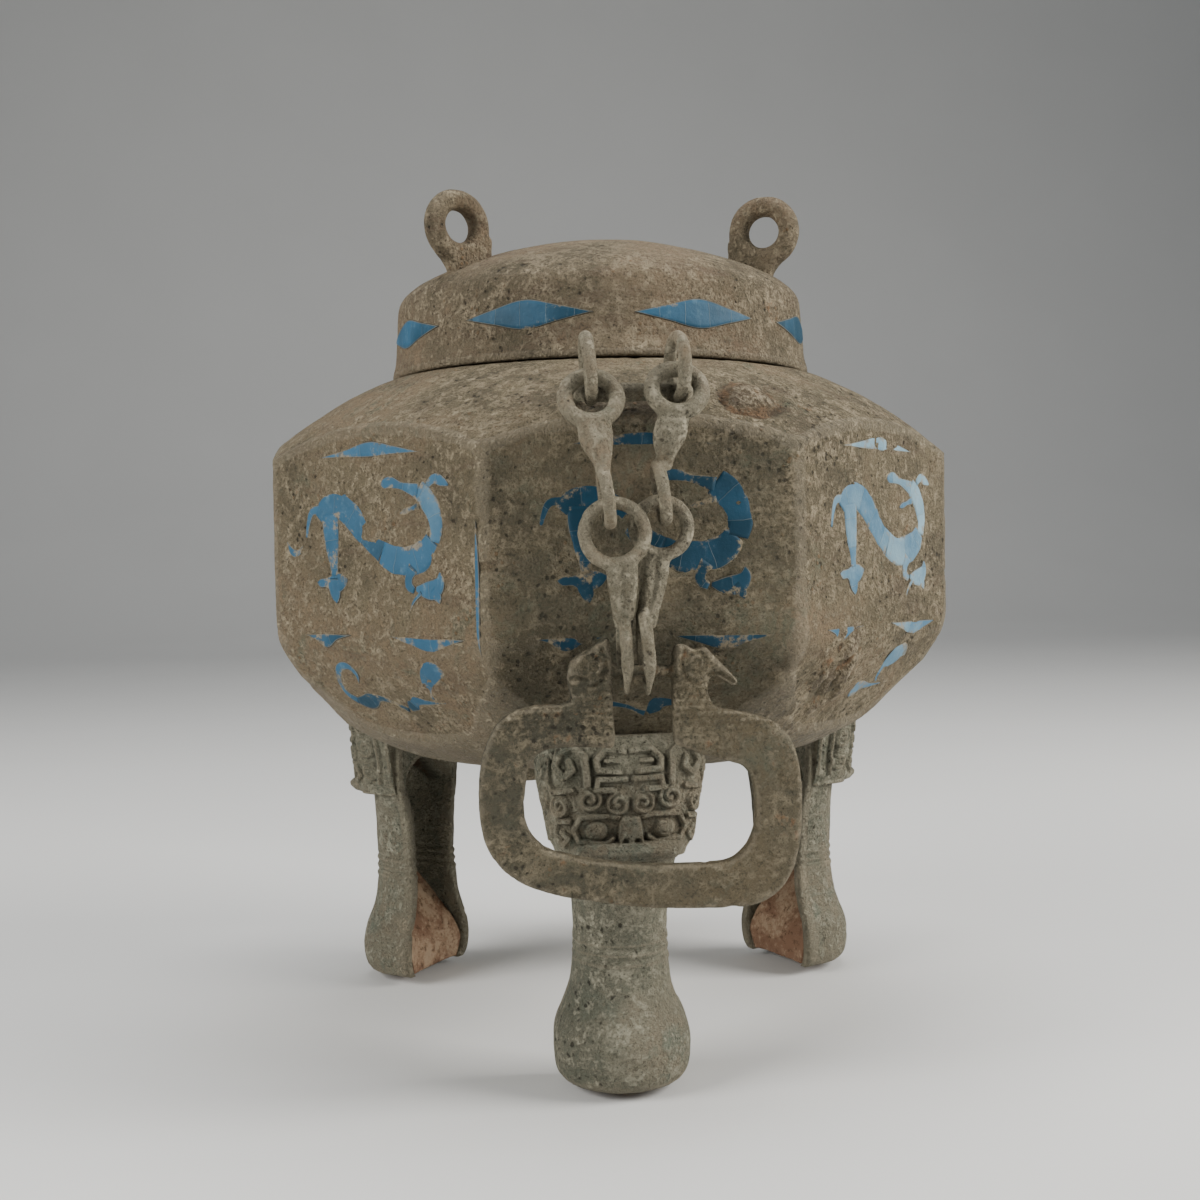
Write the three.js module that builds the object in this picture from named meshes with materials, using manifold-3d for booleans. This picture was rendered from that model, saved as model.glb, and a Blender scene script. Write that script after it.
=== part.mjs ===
// Bronze lidded tripod vessel: an eight-sided belly with a round domed shoulder, a domed
// lid with three ring lugs, three mask legs with round hooves, and a chain handle of two
// strands and a beast-headed bail on the front and on the back. Millimetres, +Z up, the
// origin on the vessel's axis at the level of the feet, the front facet towards -Y.
import * as THREE from 'three';
import { mergeVertices } from 'three/addons/utils/BufferGeometryUtils.js';
import Module from 'manifold-3d';

const wasm = await Module();
wasm.setup();

// Driving dimensions
const cornerRadius = 160;          // the belly's eight upright corners, from the axis
const wall = 4.5;                  // cast wall of the belly
const lidWall = 4.2;
const aroundSteps = 32;            // steps round the turned forms
const insideSteps = 24;            // and round the belly's hidden inner face
const facetBottom = 178;           // where the upright facets turn inwards
const shoulderEdge = 252;          // the shoulder's height at the corners
const seatHeight = 291.2;          // ledge that the lid's skirt stands over
const seatRadius = 98;
const lipRadius = 92;              // upright lip inside the lid
const lipTop = 303;
const bellyUnderside = 114.5;
const fitGap = 0.4;                // air between pieces that touch
const legRadius = 113;             // the legs' own axes, from the vessel's axis
const legTwist = -4;               // the legs stand this far round from the facets' middles
const legWall = 4.5;
const frontMaskTurn = 9;           // the front leg's mask is set on a little turned
const ringPlaces = [-56, 64, 184]; // lid rings, degrees round from the front
const ringCentreRadius = 80.5;
const ringCentreHeight = 355.2;
const ringMeanRadius = 11.6;
const handleOffset = -3.7;         // the handle hangs this far left of the facet's middle
const bailOut = 160;               // middle of the bail's plate, from the vessel's axis
const bailThickness = 8;
const pinHeight = 167.2;
const barOut = 147;
const barHeight = 271.5;
const barThickness = 7.5;

const radians = THREE.MathUtils.degToRad;

const bronze = (colour, roughness = 0.72) =>
  new THREE.MeshStandardMaterial({ color: colour, roughness, metalness: 0.35 });
const bellyBronze = bronze(0x9a9180);
const lidBronze = bronze(0xa29a8a);
const legBronze = bronze(0x8f9080);
const chainBronze = bronze(0xa7a497, 0.66);
const bailBronze = bronze(0x6f6c5b);
const firedClay = new THREE.MeshStandardMaterial({ color: 0x9c6244, roughness: 0.95, metalness: 0 });

// A closed geometry as a solid that can be joined and cut, turned right side out
function solidOf(geometry) {
  const shape = geometry.clone();
  shape.deleteAttribute('normal');
  shape.deleteAttribute('uv');
  const merged = mergeVertices(shape, 1e-4);
  const vertProperties = Float32Array.from(merged.attributes.position.array);
  const triVerts = Uint32Array.from(merged.index.array);
  const kept = [];
  for (let i = 0; i < triVerts.length; i += 3) {
    const [a, b, c] = triVerts.subarray(i, i + 3);
    if (a !== b && b !== c && c !== a) kept.push(a, b, c);
  }
  const build = (list) => new wasm.Manifold(new wasm.Mesh({
    numProp: 3, vertProperties, triVerts: Uint32Array.from(list),
  }));
  const solid = build(kept);
  if (solid.volume() > 0) return solid;
  const turned = [];
  for (let i = 0; i < kept.length; i += 3) turned.push(kept[i], kept[i + 2], kept[i + 1]);
  return build(turned);
}

function geometryOf(solid) {
  const mesh = solid.getMesh();
  const stride = mesh.numProp;
  const count = mesh.vertProperties.length / stride;
  const position = new Float32Array(count * 3);
  for (let i = 0; i < count; i += 1) {
    position.set(mesh.vertProperties.subarray(i * stride, i * stride + 3), i * 3);
  }
  const geometry = new THREE.BufferGeometry();
  geometry.setAttribute('position', new THREE.BufferAttribute(position, 3));
  geometry.setIndex(Array.from(mesh.triVerts));
  geometry.computeVertexNormals();
  return geometry;
}

const joined = (solids) => solids.reduce((whole, next) => whole.add(next));

// A profile of [radius, height] pairs turned round the upright axis
function turned(profile, steps, firstAngle = 0) {
  const points = profile.map(([radius, height]) => new THREE.Vector2(radius, height));
  const geometry = new THREE.LatheGeometry(points, steps, radians(firstAngle));
  geometry.rotateX(Math.PI / 2);
  return solidOf(geometry);
}

// A closed skin through a stack of outlines that all have the same number of corners
function lofted(outlines) {
  const sides = outlines[0].length;
  const corners = outlines.flat();
  const faces = [];
  for (let ring = 0; ring < outlines.length - 1; ring += 1) {
    for (let i = 0; i < sides; i += 1) {
      const a = ring * sides + i;
      const b = ring * sides + ((i + 1) % sides);
      faces.push(a, b, b + sides, a, b + sides, a + sides);
    }
  }
  // an end is filled in the plane that it lies flattest to, in its ring's own order
  const cap = (outline, start, backwards) => {
    const normal = new THREE.Vector3();
    for (let i = 0; i < sides; i += 1) {
      normal.add(new THREE.Vector3().crossVectors(outline[i], outline[(i + 1) % sides]));
    }
    const size = normal.toArray().map(Math.abs);
    const axis = size.indexOf(Math.max(...size));
    const contour = outline.map((p) => new THREE.Vector2(...p.toArray().filter((_, k) => k !== axis)));
    const way = Math.sign(THREE.ShapeUtils.area(contour));
    for (const [i, j, k] of THREE.ShapeUtils.triangulateShape(contour, [])) {
      const same = Math.sign(THREE.ShapeUtils.area([contour[i], contour[j], contour[k]])) === way;
      const order = same === backwards ? [i, k, j] : [i, j, k];
      faces.push(...order.map((corner) => start + corner));
    }
  };
  cap(outlines[0], 0, true);
  cap(outlines.at(-1), corners.length - sides, false);
  const geometry = new THREE.BufferGeometry().setFromPoints(corners);
  geometry.setIndex(faces);
  return solidOf(geometry);
}

// A ring: an oval centre line in the plane of two directions, carrying a many-sided section
function ring({ centre, along, up, halfWidth, halfHeight, tube, tubeAcross = tube, steps, sides }) {
  const across = new THREE.Vector3().crossVectors(along, up).normalize();
  const points = [];
  for (let i = 0; i < steps; i += 1) {
    const turn = (i / steps) * 2 * Math.PI;
    const out = along.clone().multiplyScalar(Math.cos(turn) / halfWidth)
      .addScaledVector(up, Math.sin(turn) / halfHeight).normalize();
    const middle = centre.clone().addScaledVector(along, halfWidth * Math.cos(turn))
      .addScaledVector(up, halfHeight * Math.sin(turn));
    for (let k = 0; k < sides; k += 1) {
      const roll = ((k + 0.5) / sides) * 2 * Math.PI;
      points.push(middle.clone().addScaledVector(out, tube * Math.cos(roll))
        .addScaledVector(across, tubeAcross * Math.sin(roll)));
    }
  }
  const faces = [];
  for (let i = 0; i < steps; i += 1) {
    for (let k = 0; k < sides; k += 1) {
      const next = (i + 1) % steps;
      const a = i * sides + k;
      const b = i * sides + ((k + 1) % sides);
      const c = next * sides + ((k + 1) % sides);
      const d = next * sides + k;
      faces.push(a, b, c, a, c, d);
    }
  }
  const geometry = new THREE.BufferGeometry().setFromPoints(points);
  geometry.setIndex(faces);
  return solidOf(geometry);
}

// A bar of oval sections [along x, out, height, half width, half depth], stacked downwards
function stem(stations, sides = 8) {
  return lofted(stations.map(([x, out, z, halfWidth, halfDepth]) => (
    Array.from({ length: sides }, (_, i) => {
      const turn = ((i + 0.5) / sides) * 2 * Math.PI;
      return new THREE.Vector3(x + halfWidth * Math.cos(turn), -out + halfDepth * Math.sin(turn), z);
    }))));
}

// A round rod along a level path of [x, out] corners
function levelRod(path, height, radius, sides = 6) {
  const outlines = path.map(([x, out], i) => {
    const before = path[Math.max(i - 1, 0)];
    const after = path[Math.min(i + 1, path.length - 1)];
    const run = new THREE.Vector2(after[0] - before[0], before[1] - after[1]).normalize();
    return Array.from({ length: sides }, (_, k) => {
      const turn = ((k + 0.5) / sides) * 2 * Math.PI;
      const side = radius * Math.cos(turn);
      return new THREE.Vector3(x - run.y * side, -out + run.x * side, height + radius * Math.sin(turn));
    });
  });
  return lofted(outlines);
}

// Outline of an upright wall in the x and z plane, as a plate between two distances out
function plate(shape, outInside, outOutside, curveSegments = 4) {
  const geometry = new THREE.ExtrudeGeometry(shape, {
    depth: outOutside - outInside, bevelEnabled: false, curveSegments,
  });
  geometry.rotateX(Math.PI / 2);
  geometry.translate(0, -outInside, 0);
  return solidOf(geometry);
}

// The round form that trims the eight-sided one: bowl, clear of the facets, then the dome
const bowlProfile = [
  [0, bellyUnderside], [94, 121.5], [124, 136], [131, 143],
];
const domeProfile = [
  [165, shoulderEdge - 4], [cornerRadius, shoulderEdge], [147.8, 263.5],
  [138, 271.5], [125, 280], [112, 286.5],
];
const facetProfile = [
  [cornerRadius, facetBottom], [149, 160], [139.5, 147], [131, 137], [130, bellyUnderside - 1],
];

function vesselShell() {
  const eightSided = turned([
    [0, bellyUnderside - 1], ...[...facetProfile].reverse(),
    [cornerRadius, lipTop], [0, lipTop],
  ], 8, 22.5);
  const round = turned([
    ...bowlProfile, [165, 175], ...domeProfile, [seatRadius, seatHeight],
    [lipRadius, seatHeight], [lipRadius, lipTop], [0, lipTop],
  ], aroundSteps);
  const shrink = wall / Math.cos(radians(22.5));
  const eightSidedInside = turned([
    [0, bellyUnderside], [130 - shrink, bellyUnderside],
    ...[...facetProfile].reverse().slice(1).map(([radius, height]) => [radius - shrink, height + 1]),
    [cornerRadius - shrink, lipTop + 5], [0, lipTop + 5],
  ], 8, 22.5);
  const roundInside = turned([
    [0, bellyUnderside + wall], [92, 126], [118, 138], [160, 178], [160, 246.5], [149.5, 255],
    [134.8, 267.6], [110, 282], [lipRadius - wall, 287.5],
    [lipRadius - wall, lipTop + 5], [0, lipTop + 5],
  ], insideSteps);
  return eightSided.intersect(round).subtract(eightSidedInside.intersect(roundInside));
}

// The lug that a chain hangs from: a bar with its ends turned back into the shoulder, and
// two upright loops over it that hold the links' eyes
const staples = [
  { x: handleOffset - 16.8, lean: -4, turn: 0 },
  { x: handleOffset + 16.8, lean: 0, turn: 14 },
];
function chainBracket() {
  const reach = 21.5;
  const rootOut = 133;
  const bend = 4;
  const half = [[reach, rootOut], [reach - 0.5, barOut - bend], [reach - bend, barOut]];
  const bar = levelRod([
    ...half.map(([across, out]) => [handleOffset - across, out]),
    ...half.reverse().map(([across, out]) => [handleOffset + across, out]),
  ], barHeight, barThickness / 2);
  const loops = staples.map(({ x, lean, turn }) => ring({
    centre: new THREE.Vector3(x, -152, 280),
    along: new THREE.Vector3(Math.sin(radians(turn)), -Math.cos(radians(turn)), 0),
    up: new THREE.Vector3(Math.sin(radians(lean)), 0, Math.cos(radians(lean))),
    halfWidth: 7.4, halfHeight: 11.5, tube: 2.8, steps: 10, sides: 5,
  }));
  return joined([bar, ...loops]);
}

function vesselBody() {
  const bracket = chainBracket();
  return joined([vesselShell(), bracket, bracket.rotate([0, 0, 180])]);
}

// The lid, one casting with its three ring lugs
const lidProfile = [
  [97.6, seatHeight + fitGap], [97.6, 295], [96.2, 298.5], [94.6, 322.5], [92.2, 328.8],
  [85, 335.4], [50, 349], [0, 356.6],
];
function lid() {
  const outside = turned([[0, seatHeight + fitGap], ...lidProfile], aroundSteps);
  const inside = turned([
    [0, seatHeight - 5], [lipRadius + 1, seatHeight - 5], [lipRadius + 1, lipTop], [90.2, 321.5],
    [82.5, 331], [50, 344.3], [0, 356.6 - lidWall],
  ], aroundSteps);
  const lugs = ringPlaces.map((place) => {
    const hoop = ring({
      centre: new THREE.Vector3(0, -ringCentreRadius, ringCentreHeight),
      along: new THREE.Vector3(0, -1, 0), up: new THREE.Vector3(0, 0, 1),
      halfWidth: ringMeanRadius, halfHeight: ringMeanRadius, tube: 4.9, tubeAcross: 5.1,
      steps: 12, sides: 5,
    });
    // the hoop's foot, from its inner side straight down and from its outer side inwards
    const halfThick = 4.2;
    const foot = [[64.6, 354], [64.8, 338], [86, 330], [90.5, 342.6]];
    const block = lofted([-halfThick, halfThick].map((x) => (
      foot.map(([out, height]) => new THREE.Vector3(x, -out, height)))));
    return hoop.add(block).rotate([0, 0, place]);
  });
  return joined([outside, ...lugs]).subtract(inside);
}

// A leg, towards -Y: at each height the half width and depth of its half-round front, and
// how far its side walls run on behind that
const legStations = [
  [0, 24, 23, 12.5], [3.5, 26.8, 25.8, 13], [12, 28.2, 27.2, 13.2], [20, 27.4, 26.4, 13],
  [28, 24.2, 23.6, 12.6], [36, 21.3, 21.3, 12.2], [44, 20.1, 20.2, 12], [56, 19.2, 19.4, 11],
  [78, 20.8, 19.8, 11], [97, 25.5, 18.5, 10], [146, 28, 14, 10],
];
const hollowTop = 112;

function halfRound(height, halfWidth, depth, back, corners = 6) {
  const front = Array.from({ length: corners }, (_, i) => {
    const turn = Math.PI * (i / (corners - 1));
    return new THREE.Vector3(-halfWidth * Math.cos(turn), -legRadius - depth * Math.sin(turn), height);
  });
  return [...front, new THREE.Vector3(halfWidth, -legRadius + back, height),
    new THREE.Vector3(-halfWidth, -legRadius + back, height)];
}

// The mask's face: a slab that widens upwards, with a soft front
const maskStations = [
  [92, 25.5, 135], [96, 28.5, 137], [128, 33.8, 137], [136, 33, 134], [141, 28, 128],
];
function maskSlab() {
  const corners = 5;
  const backOut = 106;
  return lofted(maskStations.map(([height, halfWidth, frontOut]) => {
    const front = Array.from({ length: corners }, (_, i) => {
      const turn = Math.PI * (i / (corners - 1));
      const side = Math.sign(Math.cos(turn)) * Math.abs(Math.cos(turn)) ** 0.7;
      const forward = Math.sin(turn) ** 0.3;
      return new THREE.Vector3(-halfWidth * side, -(114 + (frontOut - 114) * forward), height);
    });
    return [...front, new THREE.Vector3(halfWidth, -backOut, height),
      new THREE.Vector3(-halfWidth, -backOut, height)];
  }));
}

// A block on the mask with a slightly smaller face, from its outline of [x, z] corners
function boss(outline, outInside, outOutside, shrink = 0.86) {
  const middle = outline.reduce((sum, [x, z]) => [sum[0] + x / outline.length,
    sum[1] + z / outline.length], [0, 0]);
  const at = (out, scale) => outline.map(([x, z]) => new THREE.Vector3(
    middle[0] + (x - middle[0]) * scale, -out, middle[1] + (z - middle[1]) * scale));
  return lofted([at(outInside, 1), at(outOutside, shrink)]);
}

function knob(x, z, radius, out, rise) {
  const geometry = new THREE.SphereGeometry(radius, 6, 4);
  geometry.rotateX(Math.PI / 2);
  geometry.scale(1, rise / radius, 1);
  geometry.translate(x, -out, z);
  return solidOf(geometry);
}

function coil(x, z, radius, outInside, outOutside) {
  return boss(Array.from({ length: 5 }, (_, i) => {
    const turn = ((i + 0.5) / 5) * 2 * Math.PI;
    return [x + radius * Math.cos(turn), z + radius * Math.sin(turn)];
  }), outInside, outOutside, 0.7);
}

function maskFeatures() {
  const snout = lofted([
    [90.8, 22, 142], [96.2, 24.4, 144], [100, 22, 136],
  ].map(([height, halfWidth, out]) => [
    new THREE.Vector3(-halfWidth, -116, height), new THREE.Vector3(-halfWidth, -out + 3, height),
    new THREE.Vector3(0, -out, height), new THREE.Vector3(halfWidth, -out + 3, height),
    new THREE.Vector3(halfWidth, -116, height),
  ]));
  const nose = boss([[-4.4, 97], [4.4, 97], [3.4, 110.5], [-3.4, 110.5]], 132, 142.6, 0.9);
  const parts = [snout, nose];
  for (const side of [-1, 1]) {
    parts.push(knob(side * 14, 104.5, 5.2, 135.5, 5.6));                    // eye
    parts.push(coil(side * 5.6, 116, 4.4, 132, 140.5));                     // nostril scrolls
    parts.push(coil(side * 18.5, 117.5, 4.6, 131, 139.5));                  // temple scrolls
    parts.push(boss([[side * 1.2, 121.5], [side * 14, 121], [side * 15, 127.5], [side * 1.2, 128]],
      130, 140, 0.9));                                                  // brow blocks
    parts.push(boss([[side * 1.2, 129], [side * 13.5, 129], [side * 12, 138], [side * 1.2, 138.5]],
      124, 138.5, 0.88));                                                   // crown blocks
    parts.push(boss([[side * 16.5, 124], [side * 30, 122], [side * 31, 133], [side * 17, 136]],
      124, 137, 0.85));                                                 // horns
  }
  return joined(parts);
}

function leg(maskTurn) {
  const column = lofted(legStations.map((station) => halfRound(...station)));
  const mask = joined([maskSlab(), maskFeatures()])
    .translate([0, legRadius, 0]).rotate([0, 0, maskTurn]).translate([0, -legRadius, 0]);
  const hollow = lofted([
    [-1, 24, 23], [12, 28.2, 27.2], [24, 26, 25.3], [43, 20, 20.2], [76, 20.5, 19.8],
    [hollowTop - 4, 24, 17], [hollowTop, 19, 12],
  ].map(([height, halfWidth, depth]) => (
    halfRound(height, halfWidth - legWall, depth - legWall, 40))));
  // the belly that the leg is set against, with the air between the two
  const clearance = fitGap * 1.3;
  const belly = turned([
    [0, bellyUnderside - clearance], [94 + clearance / 3, 121.5 - clearance],
    [124 + clearance, 136 - clearance], [131 + clearance, 143 - clearance], [165, 175], [0, 175],
  ], aroundSteps);
  return column.add(mask).subtract(hollow).subtract(belly);
}

// The clay core that still fills a leg's hoof: its broken surface slopes up from the hoof's
// open back to the inside of the shank
function clayCore() {
  const shrink = legWall + fitGap * 1.4;
  const stations = [
    [0.8, 24.4, 23.4, 11.6], [7, 26.4, 25.4, 12], [12, 28.1, 27.1, 11.6], [22, 26.2, 25.4, 7.5],
    [33, 22.8, 22.5, 0], [43, 19.6, 19.8, -6], [50, 17, 18.4, -9],
  ];
  const corners = 6;
  return lofted(stations.map(([height, outerHalfWidth, outerDepth, back]) => {
    const halfWidth = outerHalfWidth - shrink;
    const depth = outerDepth - shrink;
    const first = Math.asin(Math.max(0, -back) / depth);
    const front = Array.from({ length: corners }, (_, i) => {
      const turn = first + (Math.PI - 2 * first) * (i / (corners - 1));
      return new THREE.Vector3(-halfWidth * Math.cos(turn), -legRadius - depth * Math.sin(turn), height);
    });
    const surface = [0.97, 0.5, -0.5, -0.97].map((side) => new THREE.Vector3(
      side * halfWidth * Math.cos(first), -legRadius + back, height));
    return [...front, ...surface];
  }));
}

// Chain links: a round eye across the facet, a stem, and an upright loop edge on
const eyeSteps = 10;
const upperLinks = {
  left: {
    eye: { x: -20.1, out: 156.8, z: 268.3, radius: 9.7, tilt: 27, tube: 3 },
    stem: [[-19.3, 161, 260.5, 6, 3.2], [-18.9, 161.4, 252.5, 6.2, 5], [-17, 162.4, 244, 3.2, 4.4],
      [-16.7, 163, 239.5, 2.4, 4]],
    loop: { x: -15.7, out: 163.2, z: 231.6, halfDepth: 6.6, halfHeight: 9.6, lean: -7 },
  },
  right: {
    eye: { x: 12.1, out: 155.9, z: 271.2, radius: 9.4, tilt: 27, tube: 3 },
    stem: [[10.4, 159.4, 262.8, 5.6, 3.2], [8.6, 159.4, 254, 6.3, 5], [7.2, 158.4, 246, 3.2, 4.4],
      [6.8, 157.8, 241.5, 2.4, 4]],
    loop: { x: 5.4, out: 157.9, z: 233.2, halfDepth: 6.7, halfHeight: 10.3, lean: -8 },
  },
};
const lowerLinks = {
  left: {
    eye: { x: -12.9, out: 163.4, z: 218.3, radius: 11.2, tilt: 0, tube: 2.4 },
    stem: [[-10.6, 163.3, 207.5, 5.8, 2.6], [-10.2, 163, 198, 4.6, 3.2], [-9.9, 161.2, 187, 3, 4.6],
      [-9.8, 160, 183.5, 2.4, 4]],
    loop: { x: -9.5, out: 160, z: 174, halfDepth: 7, halfHeight: 13, lean: -2 },
  },
  right: {
    eye: { x: 5.3, out: 157.4, z: 220.2, radius: 9.9, tilt: 0, tube: 2.4 },
    stem: [[3, 157.2, 210.5, 5.2, 2.6], [2, 157.4, 200, 4.6, 3.2], [-0.4, 158.9, 188, 3, 4.6],
      [-0.9, 160, 184, 2.4, 4]],
    loop: { x: -1.6, out: 160, z: 174.6, halfDepth: 7.6, halfHeight: 14, lean: -4 },
  },
};
function link({ eye, stem: stations, loop }) {
  const tilt = radians(eye.tilt);
  const lean = radians(loop.lean);
  return joined([
    ring({
      centre: new THREE.Vector3(eye.x, -eye.out, eye.z),
      along: new THREE.Vector3(1, 0, 0), up: new THREE.Vector3(0, Math.sin(tilt), Math.cos(tilt)),
      halfWidth: eye.radius, halfHeight: eye.radius, tube: eye.tube, steps: eyeSteps, sides: 5,
    }),
    stem(stations, 5),
    ring({
      centre: new THREE.Vector3(loop.x, -loop.out, loop.z),
      along: new THREE.Vector3(0, -1, 0), up: new THREE.Vector3(Math.sin(lean), 0, Math.cos(lean)),
      halfWidth: loop.halfDepth, halfHeight: loop.halfHeight, tube: 2.4, steps: 8, sides: 5,
    }),
  ]);
}

// The bail: a C of flat bar, its ends raised into two beast heads that look outwards
function bail() {
  const left = -64.9;
  const right = 56.4;
  const top = 154.6;
  const bottom = 78;
  const bar = 16.6;                // width of the bar
  const mouthLeft = -14.2;         // inner sides of the two heads
  const mouthRight = 7.6;
  const pinRadius = 2.5;
  const pinRoot = 1.5;             // the pin runs this far into each head
  const shape = new THREE.Shape();
  // the left head, from the mouth outwards
  shape.moveTo(mouthLeft, top - bar);
  shape.lineTo(mouthLeft - 0.6, 179);
  shape.lineTo(-16.6, 180.5);
  shape.lineTo(-22.5, 176.6);
  shape.lineTo(-29.9, 172.2);
  shape.lineTo(-31.6, 164);
  shape.lineTo(-29.6, 157.2);
  // the C's outer edge, down the left and up the right
  shape.lineTo(-40, 156);
  shape.absarc(left + 23, top - 23 + 1, 23, Math.PI / 2, Math.PI, false);
  shape.absarc(left + 31, bottom + 34, 31, Math.PI, Math.PI * 1.42, false);
  shape.lineTo(-12, bottom + 1);
  shape.lineTo(26, bottom);
  shape.absarc(right - 24, bottom + 24, 24, -Math.PI / 2, 0, false);
  shape.absarc(right - 22, top - 26, 22, 0, Math.PI / 2, false);
  // the right head, inwards: jaw, beak, crown
  shape.lineTo(22.4, top);
  shape.lineTo(20.6, 161);
  shape.lineTo(22, 166.2);
  shape.lineTo(30.6, 161);
  shape.lineTo(32.4, 162.8);
  shape.lineTo(20.4, 176.8);
  shape.lineTo(17.6, 174.6);
  shape.lineTo(11.4, 177.6);
  shape.lineTo(mouthRight, 175);
  shape.lineTo(mouthRight, top - bar);
  // the C's inner edge
  shape.lineTo(27, 133.6);
  shape.absarc(right - bar - 13, top - bar - 18, 12, Math.PI / 2, 0, true);
  shape.absarc(right - bar - 17, bottom + bar + 16, 16, 0, -Math.PI / 2, true);
  shape.lineTo(-8, bottom + bar + 1.4);
  shape.absarc(left + bar + 20, bottom + bar + 24, 20, -Math.PI * 0.56, -Math.PI, true);
  shape.absarc(left + bar + 12, top - bar - 11, 12, Math.PI, Math.PI / 2, true);
  const flat = plate(shape, bailOut - bailThickness / 2, bailOut + bailThickness / 2, 3);
  const pin = solidOf(new THREE.CylinderGeometry(pinRadius, pinRadius,
    mouthRight - mouthLeft + 2 * pinRoot, 8)
    .rotateZ(Math.PI / 2).translate((mouthLeft + mouthRight) / 2, -bailOut, pinHeight));
  return flat.add(pin);
}

const vessel = new THREE.Group();
function addPiece(parent, name, solid, material) {
  const mesh = new THREE.Mesh(geometryOf(solid), material);
  mesh.name = name;
  parent.add(mesh);
  return mesh;
}

addPiece(vessel, 'vessel_body', vesselBody(), bellyBronze);
addPiece(vessel, 'lid', lid(), lidBronze);

const legPlaces = { front: 0, back_right: 120, back_left: -120 };
for (const [name, place] of Object.entries(legPlaces)) {
  const stand = new THREE.Group();
  stand.rotation.z = radians(place + legTwist);
  addPiece(stand, `leg_${name}`, leg(name === 'front' ? frontMaskTurn : 0), legBronze);
  addPiece(stand, `clay_core_${name}`, clayCore(), firedClay);
  vessel.add(stand);
}

for (const [side, turn] of [['front', 0], ['back', 180]]) {
  const handle = new THREE.Group();
  handle.rotation.z = radians(turn);
  for (const strand of ['left', 'right']) {
    addPiece(handle, `${side}_upper_link_${strand}`, link(upperLinks[strand]), chainBronze);
    addPiece(handle, `${side}_lower_link_${strand}`, link(lowerLinks[strand]), chainBronze);
  }
  addPiece(handle, `${side}_bail`, bail(), bailBronze);
  vessel.add(handle);
}

export default vessel;
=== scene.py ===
import math
import bpy
import numpy as np
from mathutils import Matrix, Vector
from mathutils.geometry import tessellate_polygon


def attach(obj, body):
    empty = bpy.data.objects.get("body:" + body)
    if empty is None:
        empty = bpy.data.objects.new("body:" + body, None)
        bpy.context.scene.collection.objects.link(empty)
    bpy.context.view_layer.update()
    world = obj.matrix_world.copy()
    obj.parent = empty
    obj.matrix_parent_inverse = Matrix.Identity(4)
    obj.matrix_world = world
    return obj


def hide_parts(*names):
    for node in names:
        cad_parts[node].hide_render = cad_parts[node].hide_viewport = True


# An ancient bronze tripod vessel with a domed lid, blue stone inlay, mask legs and chain
# handles. Shapes are worked out in millimetres and made in metres.
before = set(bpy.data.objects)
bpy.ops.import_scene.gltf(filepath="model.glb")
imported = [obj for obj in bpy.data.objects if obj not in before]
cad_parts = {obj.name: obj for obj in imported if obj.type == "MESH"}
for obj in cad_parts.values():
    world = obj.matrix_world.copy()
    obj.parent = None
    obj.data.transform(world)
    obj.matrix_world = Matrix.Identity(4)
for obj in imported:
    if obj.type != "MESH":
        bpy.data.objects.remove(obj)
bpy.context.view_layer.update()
metre = 0.001
print("frame loaded")


# Numbers and noise
def blend(values, low, high):
    # 0 below low, 1 above high, eased between
    t = np.clip((values - low) / (high - low), 0, 1)
    return t * t * (3 - 2 * t)


def near(values, middle, inner, outer):
    # 1 within inner of the middle, 0 beyond outer, eased between
    return 1 - blend(np.abs(values - middle), inner, outer)


def lattice(points, size, seed):
    # random values at the corners of cubes of the given size, eased between the corners
    p = points / size + seed * 17.31
    whole = np.floor(p).astype(np.int64)
    part = p - whole
    part = part ** 3 * (part * (part * 6 - 15) + 10)
    total = 0
    for dx in (0, 1):
        for dy in (0, 1):
            for dz in (0, 1):
                mix = ((whole[:, 0] + dx) * 73856093) ^ ((whole[:, 1] + dy) * 19349663) \
                    ^ ((whole[:, 2] + dz) * 83492791)
                mix = (mix ^ (mix >> 13)) * 1274126177
                value = ((mix ^ (mix >> 16)) & 0xFFFF) / 65535.0
                weight = (part[:, 0] if dx else 1 - part[:, 0]) \
                    * (part[:, 1] if dy else 1 - part[:, 1]) \
                    * (part[:, 2] if dz else 1 - part[:, 2])
                total = total + value * weight
    return total * 2 - 1


def readAt(table, where, column=1):
    # a table's column at the given values of its first one
    return np.interp(where, table[:, 0], table[:, column])


def rough(points, size, octaves=3, seed=0):
    # noise at the given size in mm plus the same at half the size and half the height, and so on
    total = np.zeros(len(points))
    for k in range(octaves):
        total += lattice(points, size / 2 ** k, seed + k) / 2 ** k
    return total / (2 - 0.5 ** (octaves - 1))


def wear(at, broad, fine, scars, sunk=0.0):
    # soft lumps of two sizes, scars where a third noise is high, and all of it a little sunk
    total = rough(at, broad["size"], 3, broad["seed"]) * broad["height"] \
        + rough(at, fine["size"], 3, fine["seed"]) * fine["height"]
    cut = blend(rough(at, scars["size"], scars["octaves"], scars["seed"]), *scars["between"])
    return total - cut * scars["depth"] - sunk


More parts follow.
